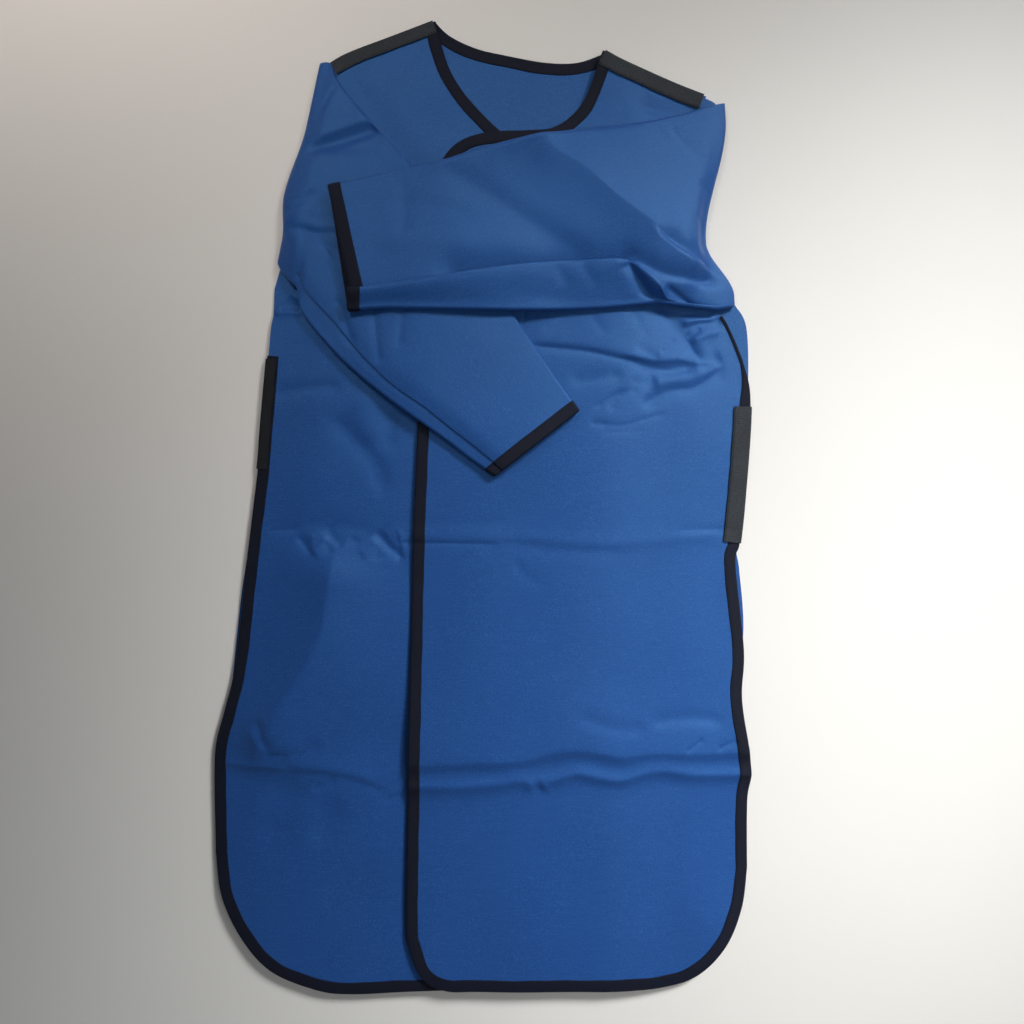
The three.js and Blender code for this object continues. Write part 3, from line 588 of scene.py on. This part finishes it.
def wovenCloth(name, turn):
    look, shader = clothLook, Shader(name)
    angle = {"Vector": shader.place(), "Angle": math.radians(turn)}
    turned = shader.node("VectorRotate", {"rotation_type": "Z_AXIS"}, angle)
    step = 2 * math.pi / look["yarn"]
    weave = (shader.axis(turned, "X") * step).sine() * (shader.axis(turned, "Y") * step).sine()
    stretched = shader.node("VectorMath", {"operation": "MULTIPLY"}, {0: turned, 1: look["slubs"]})
    slub = shader.noise(stretched, 1.0)
    fleck = shader.noise(turned, look["flecks"], 1.0)
    cloud = shader.noise(turned, look["clouds"], 3.0)
    tone = shader.blend(cloud * 1.3 - 0.15, look["deep"], look["light"])
    shows = (fleck - 0.45) * look["fleckShows"] + (slub - 0.5) * look["slubShows"] + weave * look["weaveShows"]
    rough = look["roughness"] + (fleck - 0.5) * 0.16 + weave * 0.05
    height = weave * 0.5 + slub * 0.7 + fleck * 0.6
    return shader.finish(Base_Color=shader.blend(shows, tone, look["fleck"]), Roughness=rough,
                         Normal=shader.bump(height, look["relief"], look["reliefDepth"]),
                         Sheen_Weight=look["sheen"], Sheen_Roughness=look["sheenRoughness"],
                         Sheen_Tint=look["sheenTint"], Specular_IOR_Level=look["specular"],
                         Specular_Tint=look["specularTint"])


# Ribs and yarn in millimetres along and across the tape, lint and clouds per metre
tapeLook = {
    "dark": (0.0014, 0.0030, 0.0125, 1), "worn": (0.0046, 0.0086, 0.0320, 1),
    "rib": 1.1, "yarn": 0.7, "lint": 420.0, "clouds": 30.0, "relief": 0.5, "reliefDepth": 0.0003,
    "roughness": 0.66, "gloss": 0.22, "sheen": 0.03, "sheenRoughness": 0.5, "sheenTint": (0.7, 0.78, 1.0, 1),
}
# One elastic in two tones. This one is its own grey-black made lighter with painted light, for the shoulder
# bands and the left side elastic. The next one is a darker copy with painted shade, for the right side elastic.
elasticPaintedLightLook = {**tapeLook, "rib": 2.1, "dark": (0.021, 0.026, 0.033, 1), "worn": (0.056, 0.066, 0.081, 1)}
paintedShadeElasticLook = {**elasticPaintedLightLook, "dark": (0.006, 0.0075, 0.011, 1), "worn": (0.018, 0.021, 0.029, 1)}


def ribbedTape(name, look):
    shader = Shader(name)
    place = shader.place()
    along = shader.node("Attribute", {"attribute_name": "tapeRun"}, out="Fac")
    across = shader.node("Attribute", {"attribute_name": "tapeAcross"}, out="Fac")
    ribs = (along * (2 * math.pi / look["rib"])).sine()
    yarn = (across * (2 * math.pi / look["yarn"])).sine()
    lint = shader.noise(place, look["lint"])
    cloud = shader.noise(place, look["clouds"])
    wear = (lint - 0.40) * 1.1 + (cloud - 0.5) * 0.5 + ribs * 0.08
    rough = look["roughness"] + (lint - 0.5) * 0.2 + ribs * 0.05
    height = ribs * 0.8 + yarn * 0.3 + lint * 0.5
    return shader.finish(Base_Color=shader.blend(wear, look["dark"], look["worn"]), Roughness=rough,
                         Normal=shader.bump(height, look["relief"], look["reliefDepth"]),
                         Sheen_Weight=look["sheen"], Sheen_Roughness=look["sheenRoughness"],
                         Sheen_Tint=look["sheenTint"], Specular_IOR_Level=look["gloss"])


threadLook = {
    "dark": (0.003, 0.0035, 0.007, 1), "light": (0.010, 0.011, 0.018, 1), "lint": 1500.0,
    "roughness": 0.75, "gloss": 0.12,
}


def sewingThread(name):
    look, shader = threadLook, Shader(name)
    lint = shader.noise(shader.place(), look["lint"], 1.0)
    return shader.finish(Base_Color=shader.blend(lint, look["dark"], look["light"]),
                         Roughness=look["roughness"] + lint * 0.2, Specular_IOR_Level=look["gloss"])


# Cloth is cut along its weave, so each folded sleeve turns it
panelCloth = wovenCloth("blueCloth", 0)
leftSleeveCloth = wovenCloth("blueClothLeftSleeve", -10)
rightSleeveCloth = wovenCloth("blueClothRightSleeve", 54)
bindingTape = ribbedTape("blackBindingTape", tapeLook)
# the elastic with painted light, and its darker copy with painted shade
elasticPaintedLightWeb = ribbedTape("blackElasticPaintedLight", elasticPaintedLightLook)
paintedShadeElasticWeb = ribbedTape("paintedShadeElastic", paintedShadeElasticLook)
thread = sewingThread("blackThread")
print("materials made")

# Panels
rightOutline = joinLines(rightBound, rightArmhole, rightShoulder)[:-1]
leftOutline = joinLines(leftShoulder, leftArmhole, leftBound)[:-1]
backPanel = clothPanel("backPanel", backOutline[:-1], panelMesh["back"], level(0.0), cloth["back"])
rightFront = clothPanel("rightFront", rightOutline, panelMesh["front"], rightLower, cloth["front"], rightFolds)
leftFront = clothPanel("leftFront", leftOutline, panelMesh["front"], leftLower, cloth["front"], leftFolds)
print("panels made")


# The left side tape is half hidden below the underarm and comes out to its full width lower down
def leftReach(line):
    tucked = tapeSize["tucked"]
    widens = ease((runAlong(line) - tapeSize["tuckedRun"]) / tapeSize["widenRun"])
    return tapeSize["reach"] * (tucked + (1 - tucked) * widens)


# Tapes of the fronts stop a step short of the neck points, which the shoulder bands cover
rightTapeLine = evenSteps(rightBound, tapeSize["step"])[1:]
leftTapeLine = evenSteps(leftBound, tapeSize["step"])[:-1]
rightBinding = sweepTape("rightFrontBinding", rightTapeLine, tapeSize["reach"], rightLower, rightUpper,
                         bindingTape, seed=2)
leftBinding = sweepTape("leftFrontBinding", leftTapeLine, leftReach(leftTapeLine), leftLower, leftUpper,
                        bindingTape, seed=5)
neckBinding = sweepTape("backNeckBinding", backLines["neck"], tapeSize["reach"], level(tapeSize["underside"]),
                        level(cloth["back"]), bindingTape, seed=3)

# Bands and elastics: the stretch of the edge along x (axis 0) or y (1), how far out it lies, mesh step,
# width, height and step of the ribs, seed of the wobble
bandSizes = {
    "rightShoulderBand": {"axis": 0, "span": (-187, -60), "out": 0.0, "step": 1.0, "reach": 16.0,
                          "ribs": 0.04, "ribStep": 3.0, "seed": 4},
    "leftShoulderBand": {"axis": 0, "span": (144, 267), "out": 0.0, "step": 1.0, "reach": 19.0,
                         "ribs": 0.04, "ribStep": 3.0, "seed": 6},
    "rightSideElastic": {"axis": 1, "span": (43, 180), "out": 1.3, "step": 0.7, "reach": 13.0,
                         "ribs": 0.05, "ribStep": 2.1, "seed": 7},
    "leftSideElastic": {"axis": 1, "span": (-45, 122), "out": 1.3, "step": 0.7, "reach": 22.0,
                        "ribs": 0.05, "ribStep": 2.1, "seed": 9},
}


def bandPiece(name, edge, upper, web):
    size = bandSizes[name]
    line = between(edge, size["axis"], *size["span"])
    line = evenSteps(line + sideways(line) * size["out"], size["step"])
    return sweepTape(name, line, size["reach"], level(tapeSize["underside"]),
                     lambda spots: upper(spots) + tapeSize["overTape"], web, size["seed"], size["ribs"],
                     size["ribStep"])


bandRight = bandPiece("rightShoulderBand", rightShoulder, rightUpper, elasticPaintedLightWeb)
bandLeft = bandPiece("leftShoulderBand", leftShoulder, leftUpper, elasticPaintedLightWeb)
# the right side elastic takes the darker copy of the elastic, with painted shade
elasticRight = bandPiece("rightSideElastic", rightSide, rightUpper, paintedShadeElasticWeb)
elasticLeft = bandPiece("leftSideElastic", leftSide, leftUpper, elasticPaintedLightWeb)
print("tapes made")

# Sleeves, from the fold at the armhole to the cuff. Columns of the rows: upper edge x, y, level; lower edge
# x, y, level; height of the rounded edges; height of the crest; dent of the armhole fold; pleat line.
# Places and reaches across the sleeve are shares of its width. The pleat opens over the run "opens". At the
# mouth the under layer stands out by "under" along "axis". "lift" keeps the sleeve off what it lies on, and
# "sinks" are folds of the layer that the strip lies on.
rightSleeveShape = {
    "crestAt": 0.8, "dentAt": 0.67, "dentAbove": 0.35, "dentBelow": 0.22,
    "axis": (0.6, -0.8), "under": 0.0, "opens": (40, 56), "stripOver": False, "lift": 0.4,
    "rows": [
        (-197, 532, 3.4, -248, 292, 3.4, 6, 8, 9, 0.93),
        (-184, 531, 3.4, -243, 282, 3.4, 8, 14, 8, 0.93),
        (-176, 511, 8, -231, 268, 8, 8, 15, 5, 0.93),
        (-165, 495, 9.5, -222, 258, 9.5, 8, 14.5, 2, 0.93),
        (-153, 480, 11, -215, 229, 11, 8, 14, 0, 0.90),
        (-120, 442, 13, -182, 188, 13, 8, 13, 0, 0.885),
        (-85, 401, 17.6, -151, 158, 15, 8, 13, 0, 0.905),
        (-45, 344, 20.6, -113, 127, 18, 8, 13, 0, 0.92),
        (0, 278, 19, -77, 101, 19.8, 8, 13, 0, 0.905),
        (34, 228, 18.4, -45, 78, 19, 8, 13, 0, 0.905),
        (75, 167, 19, -15, 55, 18.8, 8, 13, 0, 0.89),
        (112, 113, 20.2, 13, 36, 19.8, 8, 12, 0, 0.90),
    ],
    "folds": [
        (-6.0, 12, 8, 1.7, 24, [(-228, 420), (-209, 424), (-187, 429), (-169, 434), (-150, 440), (-127, 448),
                                (-108, 454)]),
        (2.8, 16, 6, 1.6, 24, [(-224, 420), (-207, 430), (-187, 440), (-163, 449), (-131, 459), (-116, 464)]),
        (-1.4, 8, 8, 1.7, 18, [(-190, 423), (-151, 424), (-112, 429)]),
        (-1.3, 4, 5, 1.4, 10, [(-172, 506), (-188, 481), (-204, 455)]),
        (1.3, 6, 6, 1.6, 14, [(-248, 355), (-222, 368), (-190, 385)]),
        (-1.6, 6, 6, 1.6, 14, [(-248, 344), (-222, 356), (-192, 373)]),
        (1.4, 5, 5, 1.6, 14, [(-248, 334), (-228, 346), (-204, 358)]),
        (-2.6, 5, 5, 1.4, 16, [(-248, 330), (-216, 328), (-199, 323), (-160, 322)]),
        (-2.8, 10, 6, 1.8, 16, [(-222, 330), (-195, 313), (-164, 292)]),
        (1, 5, 5, 1.5, 16, [(-219, 335), (-190, 302), (-157, 267)]),
        (-1.2, 6, 6, 1.6, 12, [(-216, 347), (-195, 339), (-166, 339)]),
        (-1.8, 6, 6, 1.6, 10, [(-174, 248), (-162, 217), (-153, 184)]),
        (-1.8, 6, 6, 1.6, 10, [(-130, 248), (-127, 214), (-122, 165)]),
        (-1.6, 6, 6, 1.6, 10, [(-96, 248), (-95, 222), (-100, 184)]),
    ],
    "ripple": (11, 90, 0.4),
    "sinks": [],
}
leftSleeveShape = {
    "crestAt": 0.76, "dentAt": 0.68, "dentAbove": 0.6, "dentBelow": 0.27,
    "axis": (-0.97, -0.22), "under": 10.0, "opens": (86, 98), "stripOver": True, "lift": 0.85,
    "rows": [
        (289, 484, 3.4, 301, 240, 3.4, 6, 7, 31, 0.97),
        (279, 481, 5.2, 291, 237, 5.4, 7, 9.3, 29, 0.97),
        (262, 475, 8.4, 274, 234, 9, 8, 11, 20, 0.97),
        (235, 466, 10.5, 247, 236, 12, 8, 15, 10, 0.97),
        (197.6, 456.5, 14.2, 217.5, 238.9, 14.4, 8, 16.5, 2.8, 0.968),
        (183, 453.5, 15.6, 206, 240, 15.4, 8, 16.5, 0, 0.90),
        (161.6, 451, 16.5, 190.2, 238.4, 16.3, 8, 16, 0, 0.824),
        (140.2, 448, 17.4, 174.3, 236.7, 17.0, 8, 15, 0, 0.762),
        (106, 444, 18.8, 149, 234, 17.6, 8, 14, 0, 0.746),
        (50, 432, 22.6, 100, 231, 19.4, 8, 13, 0, 0.730),
        (-7, 417, 27.6, 56, 229, 25.2, 8, 13, 0, 0.730),
        (-46, 403, 30.6, 0, 228, 31.6, 8, 13, 0, 0.752),
        (-86, 394, 30.6, -75, 229, 31.6, 8, 13, 0, 0.808),
        (-130, 384, 29, -115, 230, 30, 8, 13, 0, 0.835),
        (-180, 374, 28.4, -147, 230, 29.8, 8, 13, 0, 0.85),
    ],
    "folds": [
        (12, 56, 42, 1.25, 30, [(20, 471), (72, 430), (79, 418), (113, 397), (137, 377), (160, 356), (184, 338),
                                (207, 322), (231, 302), (268, 267)]),
        (-6.5, 12, 2.6, 1.8, 32, [(195, 329), (210, 316), (229, 302), (241, 296), (262, 287),
                                  (285, 276), (312, 264)]),
        (-5.0, 13, 5, 1.6, 20, [(152, 288), (166, 289), (178, 286), (190, 280), (207, 273),
                                (231, 268), (285, 266)]),
        (-6.5, 4, 9, 1.7, 7, [(167, 287), (178, 271), (190, 256), (204, 241)]),
        (1.8, 5, 5, 1.6, 8, [(165, 291), (184, 277), (201, 261), (217, 246)]),
        (-4, 3, 6, 1.3, 8, [(212, 259), (231, 248), (254, 236), (278, 233), (298, 232)]),
        (-1, 4, 6, 1.6, 10, [(198, 457), (210, 439), (219, 426)]),
        (-1.2, 5, 6, 1.6, 12, [(218, 456), (233, 432), (248, 418), (265, 410)]),
        (-2, 3, 4, 1.4, 5, [(253, 345), (259, 331), (262, 317)]),
        (-1.1, 3, 3, 1.3, 5, [(254, 385), (266, 375), (275, 368)]),
        (9.0, 30, 38, 1.6, 34, [(-84, 408), (-46, 416), (-7, 428), (40, 440), (90, 452)]),
        (-3.0, 15, 22, 1.8, 34, [(-75, 402), (-59, 395), (-4, 367), (60, 326), (136, 283)]),
        (-1.6, 9, 9, 1.8, 22, [(-98, 394), (-90, 355), (-95, 304)]),
        (-1.4, 12, 12, 1.8, 24, [(-121, 352), (-60, 348), (1, 331)]),
        (1.6, 16, 16, 2, 26, [(-131, 310), (-70, 305), (1, 305)]),
        (-1.4, 9, 9, 1.8, 12, [(82, 284), (92, 268), (102, 254)]),
        (-1.2, 8, 8, 1.8, 12, [(113, 284), (125, 268), (134, 254)]),
    ],
    "ripple": (14, 95, 0.35),
    "sinks": [
        (-7.0, 17, 24, 1.6, 32, [(-60, 262), (0, 274), (39, 277), (86, 281), (138, 283), (160, 283),
                                 (184, 280)]),
    ],
}
pleat = {
    "radius": 1.1, "overRadius": 1.6,  # of the turned edge, where the strip lies below and where it lies over
    "tuck": 13.0, "tuckShare": 0.3,  # how far a layer goes under, and below a strip at most this share of it
    "gap": 0.2, "overGap": 0.5, "underGap": 0.7,  # between the layers
    "bulge": 0.8,
}
ringCounts = {"edge": 9, "top": 80, "pleat": 30, "lower": 12, "under": 20}
closingPoints = 3  # of the under layer, on the last rounded quarter
stripFrom = ringCounts["edge"] + ringCounts["top"]
upperCount = stripFrom + ringCounts["pleat"]


# One section of a sleeve as a ring of (distance across, height), over the top and back underneath. Where the
# pleat is open, one layer turns under at the fold and the other comes out from behind it.
def sleeveRing(width, edge, crest, fold, opened, shape):
    radius, at, tuck, gap = edge / 2, fold * width, pleat["tuck"], pleat["gap"]
    crestAt, count = shape["crestAt"], ringCounts

    def puff(across):
        share = np.clip((across - radius) / (width - edge), 0, 1)
        climb = np.where(share < crestAt, share / crestAt, (1 - share) / (1 - crestAt))
        return edge + (crest - edge) * np.sin(climb * np.pi / 2)

    def arc(middle, first, last, points):
        angles = np.linspace(first, last, points) * np.pi
        return np.column_stack([middle + radius * np.cos(angles), radius + radius * np.sin(angles)])

    across = np.linspace(radius, at, count["top"] + 1)[1:]
    topLayer = np.column_stack([across, puff(across)])
    high = topLayer[-1, 1]
    if shape["stripOver"]:
        turn, above = pleat["overRadius"], high + pleat["overGap"]
        tuck = min(tuck, pleat["tuckShare"] * (width - radius - at))
        hidden = np.array([[at + tuck / 2, high - gap], [at + tuck, high - gap],
                           [at + tuck + 2 * gap, high + gap], [at + tuck / 2, above]])
        bend = np.linspace(1.5, 0.5, 6) * np.pi
        turned = np.column_stack([at + turn + turn * np.cos(bend), above + turn + turn * np.sin(bend)])
        first, start = at + turn, above + 2 * turn
    else:
        turn = pleat["radius"]
        below = high - 2 * turn
        bend = np.linspace(0.5, -0.5, 9)[1:] * np.pi
        hidden = np.column_stack([at + turn * np.cos(bend), high - turn + turn * np.sin(bend)])
        turned = np.array([[at - tuck * 0.6, below - gap], [at - tuck, below - 2 * gap]])
        first, start = at - tuck, below - pleat["underGap"]
    reach = np.linspace(0, 1, count["pleat"] - len(hidden) - len(turned) + 1)[1:]
    strip = first + (width - radius - first) * reach
    heights = start + (edge - start) * ease(reach) + pleat["bulge"] * np.sin(np.pi * reach)
    pleated = np.vstack([hidden, turned, np.column_stack([strip, heights])])
    plain = np.linspace(at, width - radius, count["pleat"] + 1)[1:]
    plain = np.column_stack([plain, puff(plain)])
    under = np.linspace(width - radius, radius, count["under"] - closingPoints + 1)[1:]
    ring = np.vstack([arc(radius, 1, 0.5, count["edge"]), topLayer, plain + (pleated - plain) * opened,
                      arc(width - radius, 0.5, -0.5, count["lower"] + 1)[1:],
                      np.column_stack([under, np.zeros(len(under))]),
                      arc(radius, -0.5, -1, closingPoints + 2)[1:-1]])
    # 1 on the upper layers, 0 round the lower edge, -1 underneath
    layers = np.repeat([1.0, 1.0, 1.0, 0.0, -1.0], list(count.values()))
    return ring, layers


# The sleeve swells from a flat fold at the armhole over the run "root"
sleeveMesh = {"step": 2.0, "root": 4.0, "rootSteps": (0, 0.02, 0.08, 0.2, 0.4, 0.65), "flattest": 0.0004}
# runs over which folds fade in and out along the sleeve, and points of a ring over which they do across it
foldFade = {"root": 30, "cuff": 28, "upperFrom": 4, "upperOver": 7, "lowerOver": 5}
# run over which the under layer comes out at the mouth, and how far the strip follows it
mouth = {"run": 45, "strip": 0.35, "stripFrom": 0.85}


def sleeveGrid(shape):
    rows = smoothLine(shape["rows"], step=1.0, fine=40)
    run, root = runAlong((rows[:, 0:2] + rows[:, 3:5]) / 2), sleeveMesh["root"]
    far = np.linspace(root, run[-1], int(run[-1] / sleeveMesh["step"]))
    wanted = np.concatenate([root * np.array(sleeveMesh["rootSteps"]), far])
    rows = np.column_stack([np.interp(wanted, run, rows[:, k]) for k in range(rows.shape[1])])
    opens = ease((wanted - shape["opens"][0]) / (shape["opens"][1] - shape["opens"][0]))
    grid, layers = [], []
    for row, fromRoot, opened in zip(rows, wanted, opens):
        upper, upperLevel, lower, lowerLevel = row[0:2], row[2], row[3:5], row[5]
        edge, crest, dented, fold = row[6:]
        width = np.hypot(*(lower - upper))
        across = (lower - upper) / width
        inward = np.array([across[1], -across[0]])
        ring, layer = sleeveRing(width, edge, crest, fold, opened, shape)
        share = ring[:, 0] / width
        reach = np.where(share < shape["dentAt"], shape["dentAbove"], shape["dentBelow"])
        dent = dented * (1 - ease(np.abs(share - shape["dentAt"]) / reach))
        flat = upper + ring[:, :1] * across + dent[:, None] * inward
        base = upperLevel + (lowerLevel - upperLevel) * np.clip(share, 0, 1) + shape["lift"]
        swell = math.sqrt(max(1 - (1 - min(fromRoot / root, 1)) ** 2, sleeveMesh["flattest"]))
        grid.append(np.column_stack([flat, base + edge / 2 + (ring[:, 1] - edge / 2) * swell]))
        layers.append(layer)
    grid, layers = np.array(grid), np.array(layers)
    flat, around = grid[:, :, :2].reshape(-1, 2), np.arange(layers.shape[1])
    soft = (foldField(shape["folds"], flat) + ripple(flat, *shape["ripple"])).reshape(layers.shape)
    # the upper layer and the first of its turned end sink where the strip lies on them
    soft += foldField(shape["sinks"], flat).reshape(layers.shape) * (around < stripFrom + 2)
    # folds show on the upper layers and die out towards the armhole fold, the cuff and the rounded edges
    ends = ease(wanted / foldFade["root"]) * ease((wanted[-1] - wanted) / foldFade["cuff"])
    nearUpper = ease((around - foldFade["upperFrom"]) / foldFade["upperOver"])
    nearLower = ease((upperCount - 1 - around) / foldFade["lowerOver"])
    grid[:, :, 2] += soft * ends[:, None] * np.clip(layers, 0, 1) * nearUpper * nearLower
    # the under layer stands out past the upper one at the mouth
    stand = shape["under"] * ease((wanted - wanted[-1] + mouth["run"]) / mouth["run"])
    share = np.linalg.norm(grid[:, :, :2] - grid[:, :1, :2], axis=2)
    share = share / share.max(axis=1, keepdims=True)
    follows = ease((share - mouth["stripFrom"]) / (1 - mouth["stripFrom"]))
    onStrip = (around >= stripFrom) & (layers >= 0)
    moves = share * (layers < 0) + (mouth["strip"] + (1 - mouth["strip"]) * follows) * onStrip
    grid[:, :, :2] += (stand[:, None] * moves)[:, :, None] * np.array(shape["axis"])
    return grid


# Outward normals of a grid, and whether its quads have to be turned to face outwards
def gridNormals(grid):
    along = np.gradient(grid, axis=0)
    around = np.roll(grid, -1, axis=1) - np.roll(grid, 1, axis=1)
    normals = np.cross(along, around)
    normals /= np.maximum(np.linalg.norm(normals, axis=2, keepdims=True), tiny)
    upperLayer = slice(ringCounts["edge"] + 3, ringCounts["top"] // 2)
    turned = normals[:, upperLayer, 2].mean() > 0
    return (normals if turned else -normals), turned


def sleevePiece(name, grid, material):
    stations, around = grid.shape[:2]
    turned = gridNormals(grid)[1]
    faces = ringQuads(stations, around)
    # the two layers close on each other at the armhole fold
    over = upperCount + ringCounts["lower"] // 2
    first, last = 0, around - 1
    while last - first > 1:
        ahead = np.linalg.norm(grid[0, first + 1, :2] - grid[0, 0, :2])
        behind = np.linalg.norm(grid[0, last - 1, :2] - grid[0, 0, :2])
        if last - 1 <= over or (ahead <= behind and first + 1 < over):
            faces.append((first, last, first + 1))
            first += 1
        else:
            faces.append((first, last, last - 1))
            last -= 1
    faces = [face[::-1] for face in faces] if turned else faces
    piece = makePiece(name, grid.reshape(-1, 3), faces, [material], sharp=80)
    wall = piece.modifiers.new("wall", "SOLIDIFY")
    wall.thickness = cloth["sleeve"] * mm
    wall.offset = -1
    return piece


# Cuff tape round the mouth: rings at distances back from the mouth, outside and inside the wall
cuffRing = [
    (14.0, 0.15), (13.6, 0.85), (12.0, 1.1), (8.0, 1.2), (4.0, 1.2), (0.8, 1.1), (-0.6, 0.7), (-1.1, -0.6),
    (-0.6, -2.1), (0.8, -2.6), (6.0, -2.7), (13.6, -2.5), (14.0, -1.8), (6.0, -1.7), (1.0, -1.65), (1.0, 0.1),
    (6.0, 0.1),
]
cuffStations = 14  # of the sleeve, back from the mouth, as far as the tape reaches


def cuffPiece(name, grid, material):
    normals, turned = gridNormals(grid)
    lines, facings = grid[-cuffStations:][::-1], normals[-cuffStations:][::-1]
    back = np.linalg.norm(lines - lines[0], axis=2)
    rings = []
    for distance, lift in cuffRing:
        ring = np.zeros(lines[0].shape)
        for j in range(len(ring)):
            run, line, facing = back[:, j], lines[:, j], facings[:, j]
            if distance < 0:
                spot = line[0] + (line[0] - line[1]) / np.linalg.norm(line[0] - line[1]) * -distance
            else:
                spot = np.array([np.interp(distance, run, line[:, k]) for k in range(3)])
            normal = np.array([np.interp(max(distance, 0), run, facing[:, k]) for k in range(3)])
            ring[j] = spot + normal / max(np.linalg.norm(normal), tiny) * lift
        rings.append(ring)
    # rings run around the profile, so the sweep goes round the mouth
    loops = np.stack(rings, axis=1)
    count, profile = loops.shape[:2]
    faces = ringQuads(count, profile, closed=True)
    faces = faces if turned else [face[::-1] for face in faces]
    outer = loops[:, 3]  # along the middle of the tape's outer face
    steps = np.linalg.norm(np.diff(outer, axis=0, append=outer[:1]), axis=1)
    along = np.repeat(np.concatenate([[0], np.cumsum(steps)[:-1]]), profile)
    across = np.tile([distance for distance, _ in cuffRing], count)
    return makePiece(name, loops.reshape(-1, 3), faces, [material], None,
                     {"tapeRun": along, "tapeAcross": across}, sharp=70)


rightGrid, leftGrid = sleeveGrid(rightSleeveShape), sleeveGrid(leftSleeveShape)
rightSleeve = sleevePiece("rightSleeve", rightGrid, rightSleeveCloth)
leftSleeve = sleevePiece("leftSleeve", leftGrid, leftSleeveCloth)
rightCuff = cuffPiece("rightCuffBinding", rightGrid, bindingTape)
leftCuff = cuffPiece("leftCuffBinding", leftGrid, bindingTape)
print("sleeves made")

# What each piece stands for
stands = [
    (backPanel, "back_panel", "cloth"), (neckBinding, "back_neck_binding", "tape"),
    (rightFront, "right_front_panel", "cloth"), (rightBinding, "right_front_binding", "tape"),
    (leftFront, "left_front_panel", "cloth"), (leftBinding, "left_front_binding", "tape"),
    (rightSleeve, "right_sleeve", "cloth"), (rightCuff, "right_cuff_binding", "tape"),
    (leftSleeve, "left_sleeve", "cloth"), (leftCuff, "left_cuff_binding", "tape"),
    (bandRight, "right_shoulder_band", "elastic"), (bandLeft, "left_shoulder_band", "elastic"),
    (elasticRight, "right_side_elastic", "elastic"), (elasticLeft, "left_side_elastic", "elastic"),
]
for piece, node, slotName in stands:
    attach(piece, "root")
    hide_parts(node)

# Floor, light and camera in metres, with eye, lens and sensor in millimetres
studio = {
    "floor": (0.70, 0.70, 0.68, 1), "floorPale": (0.75, 0.75, 0.73, 1), "floorRoughness": 0.6,
    "floorHalf": 6.0, "floorLevel": -0.0004,
    "sky": (0.93, 0.96, 1.0, 1), "skyStrength": 0.12,
    "eye": (33.6, -6.6, 895.0), "lens": 26.0, "sensor": 36.0, "nearest": 0.01,
}
# name, place, aim, size, power, colour, spread in degrees, whether gloss and camera see it
lamps = [
    ("key", (1.5, 1.6, 1.7), (0.4, -0.45, 0), (0.6, 0.6), 7.6, (1.0, 0.985, 0.96), 44, True),
    ("ceiling", (0.6, -0.3, 1.25), (0.6, -0.3, 0), (0.4, 0.8), 2.35, (1.0, 0.98, 0.96), 120, True),
    ("ceilingTop", (-0.5, 1.0, 1.25), (-0.5, 1.0, 0), (0.4, 0.4), 4.5, (1.0, 0.90, 0.83), 100, True),
    # wide lamps out over the bare floor, clear of the cloth
    ("farTop", (0, 4.4, 2.2), (0, 4.4, 0), (11, 3.6), 115, (1.0, 1.0, 1.0), 96, False),
    ("farLow", (0, -4.4, 2.2), (0, -4.4, 0), (11, 3.6), 115, (1.0, 1.0, 1.0), 96, False),
    ("farLeft", (-4.1, 0, 2.2), (-4.1, 0, 0), (3.0, 5.2), 46, (1.0, 1.0, 1.0), 96, False),
    ("farRight", (4.3, 0, 2.2), (4.3, 0, 0), (2.6, 5.2), 34, (1.0, 1.0, 1.0), 96, False),
]


def paleFloor():
    shader = Shader("paleFloor")
    tone = shader.blend(shader.noise(shader.place(), 3.0, 3.0), studio["floor"], studio["floorPale"])
    half, low = studio["floorHalf"], studio["floorLevel"]
    mesh = bpy.data.meshes.new("floor")
    mesh.from_pydata([(-half, -half, low), (half, -half, low), (half, half, low), (-half, half, low)], [],
                     [(0, 1, 2, 3)])
    mesh.materials.append(shader.finish(Base_Color=tone, Roughness=studio["floorRoughness"]))
    floor = bpy.data.objects.new("floor", mesh)
    bpy.context.scene.collection.objects.link(floor)


def softLight(name, place, aim, size, power, colour, spread, mirrored):
    lamp = bpy.data.lights.new(name, "AREA")
    lamp.shape, lamp.energy, lamp.color, lamp.spread = "RECTANGLE", power, colour, math.radians(spread)
    lamp.size, lamp.size_y = size
    light = bpy.data.objects.new(name, lamp)
    light.location = place
    light.rotation_euler = (Vector(aim) - Vector(place)).to_track_quat("-Z", "Y").to_euler()
    light.visible_camera = light.visible_glossy = mirrored
    bpy.context.scene.collection.objects.link(light)


paleFloor()
for lampRow in lamps:
    softLight(*lampRow)
world = bpy.data.worlds.new("studio")
world.use_nodes = True
sky = world.node_tree.nodes["Background"]
sky.inputs["Color"].default_value = studio["sky"]
sky.inputs["Strength"].default_value = studio["skyStrength"]
bpy.context.scene.world = world
bpy.context.scene.view_settings.view_transform = "Standard"

lens = bpy.data.cameras.new("camera")
lens.lens, lens.sensor_width, lens.clip_start = studio["lens"], studio["sensor"], studio["nearest"]
camera = bpy.data.objects.new("camera", lens)
eyeX, eyeY, eyeHeight = studio["eye"]
camera.location = ((eyeX - tableMiddle[0]) * mm, (eyeY - tableMiddle[1]) * mm, eyeHeight * mm)
bpy.context.scene.collection.objects.link(camera)
bpy.context.scene.camera = camera
print("floor, light and camera set")

bpy.context.view_layer.update()
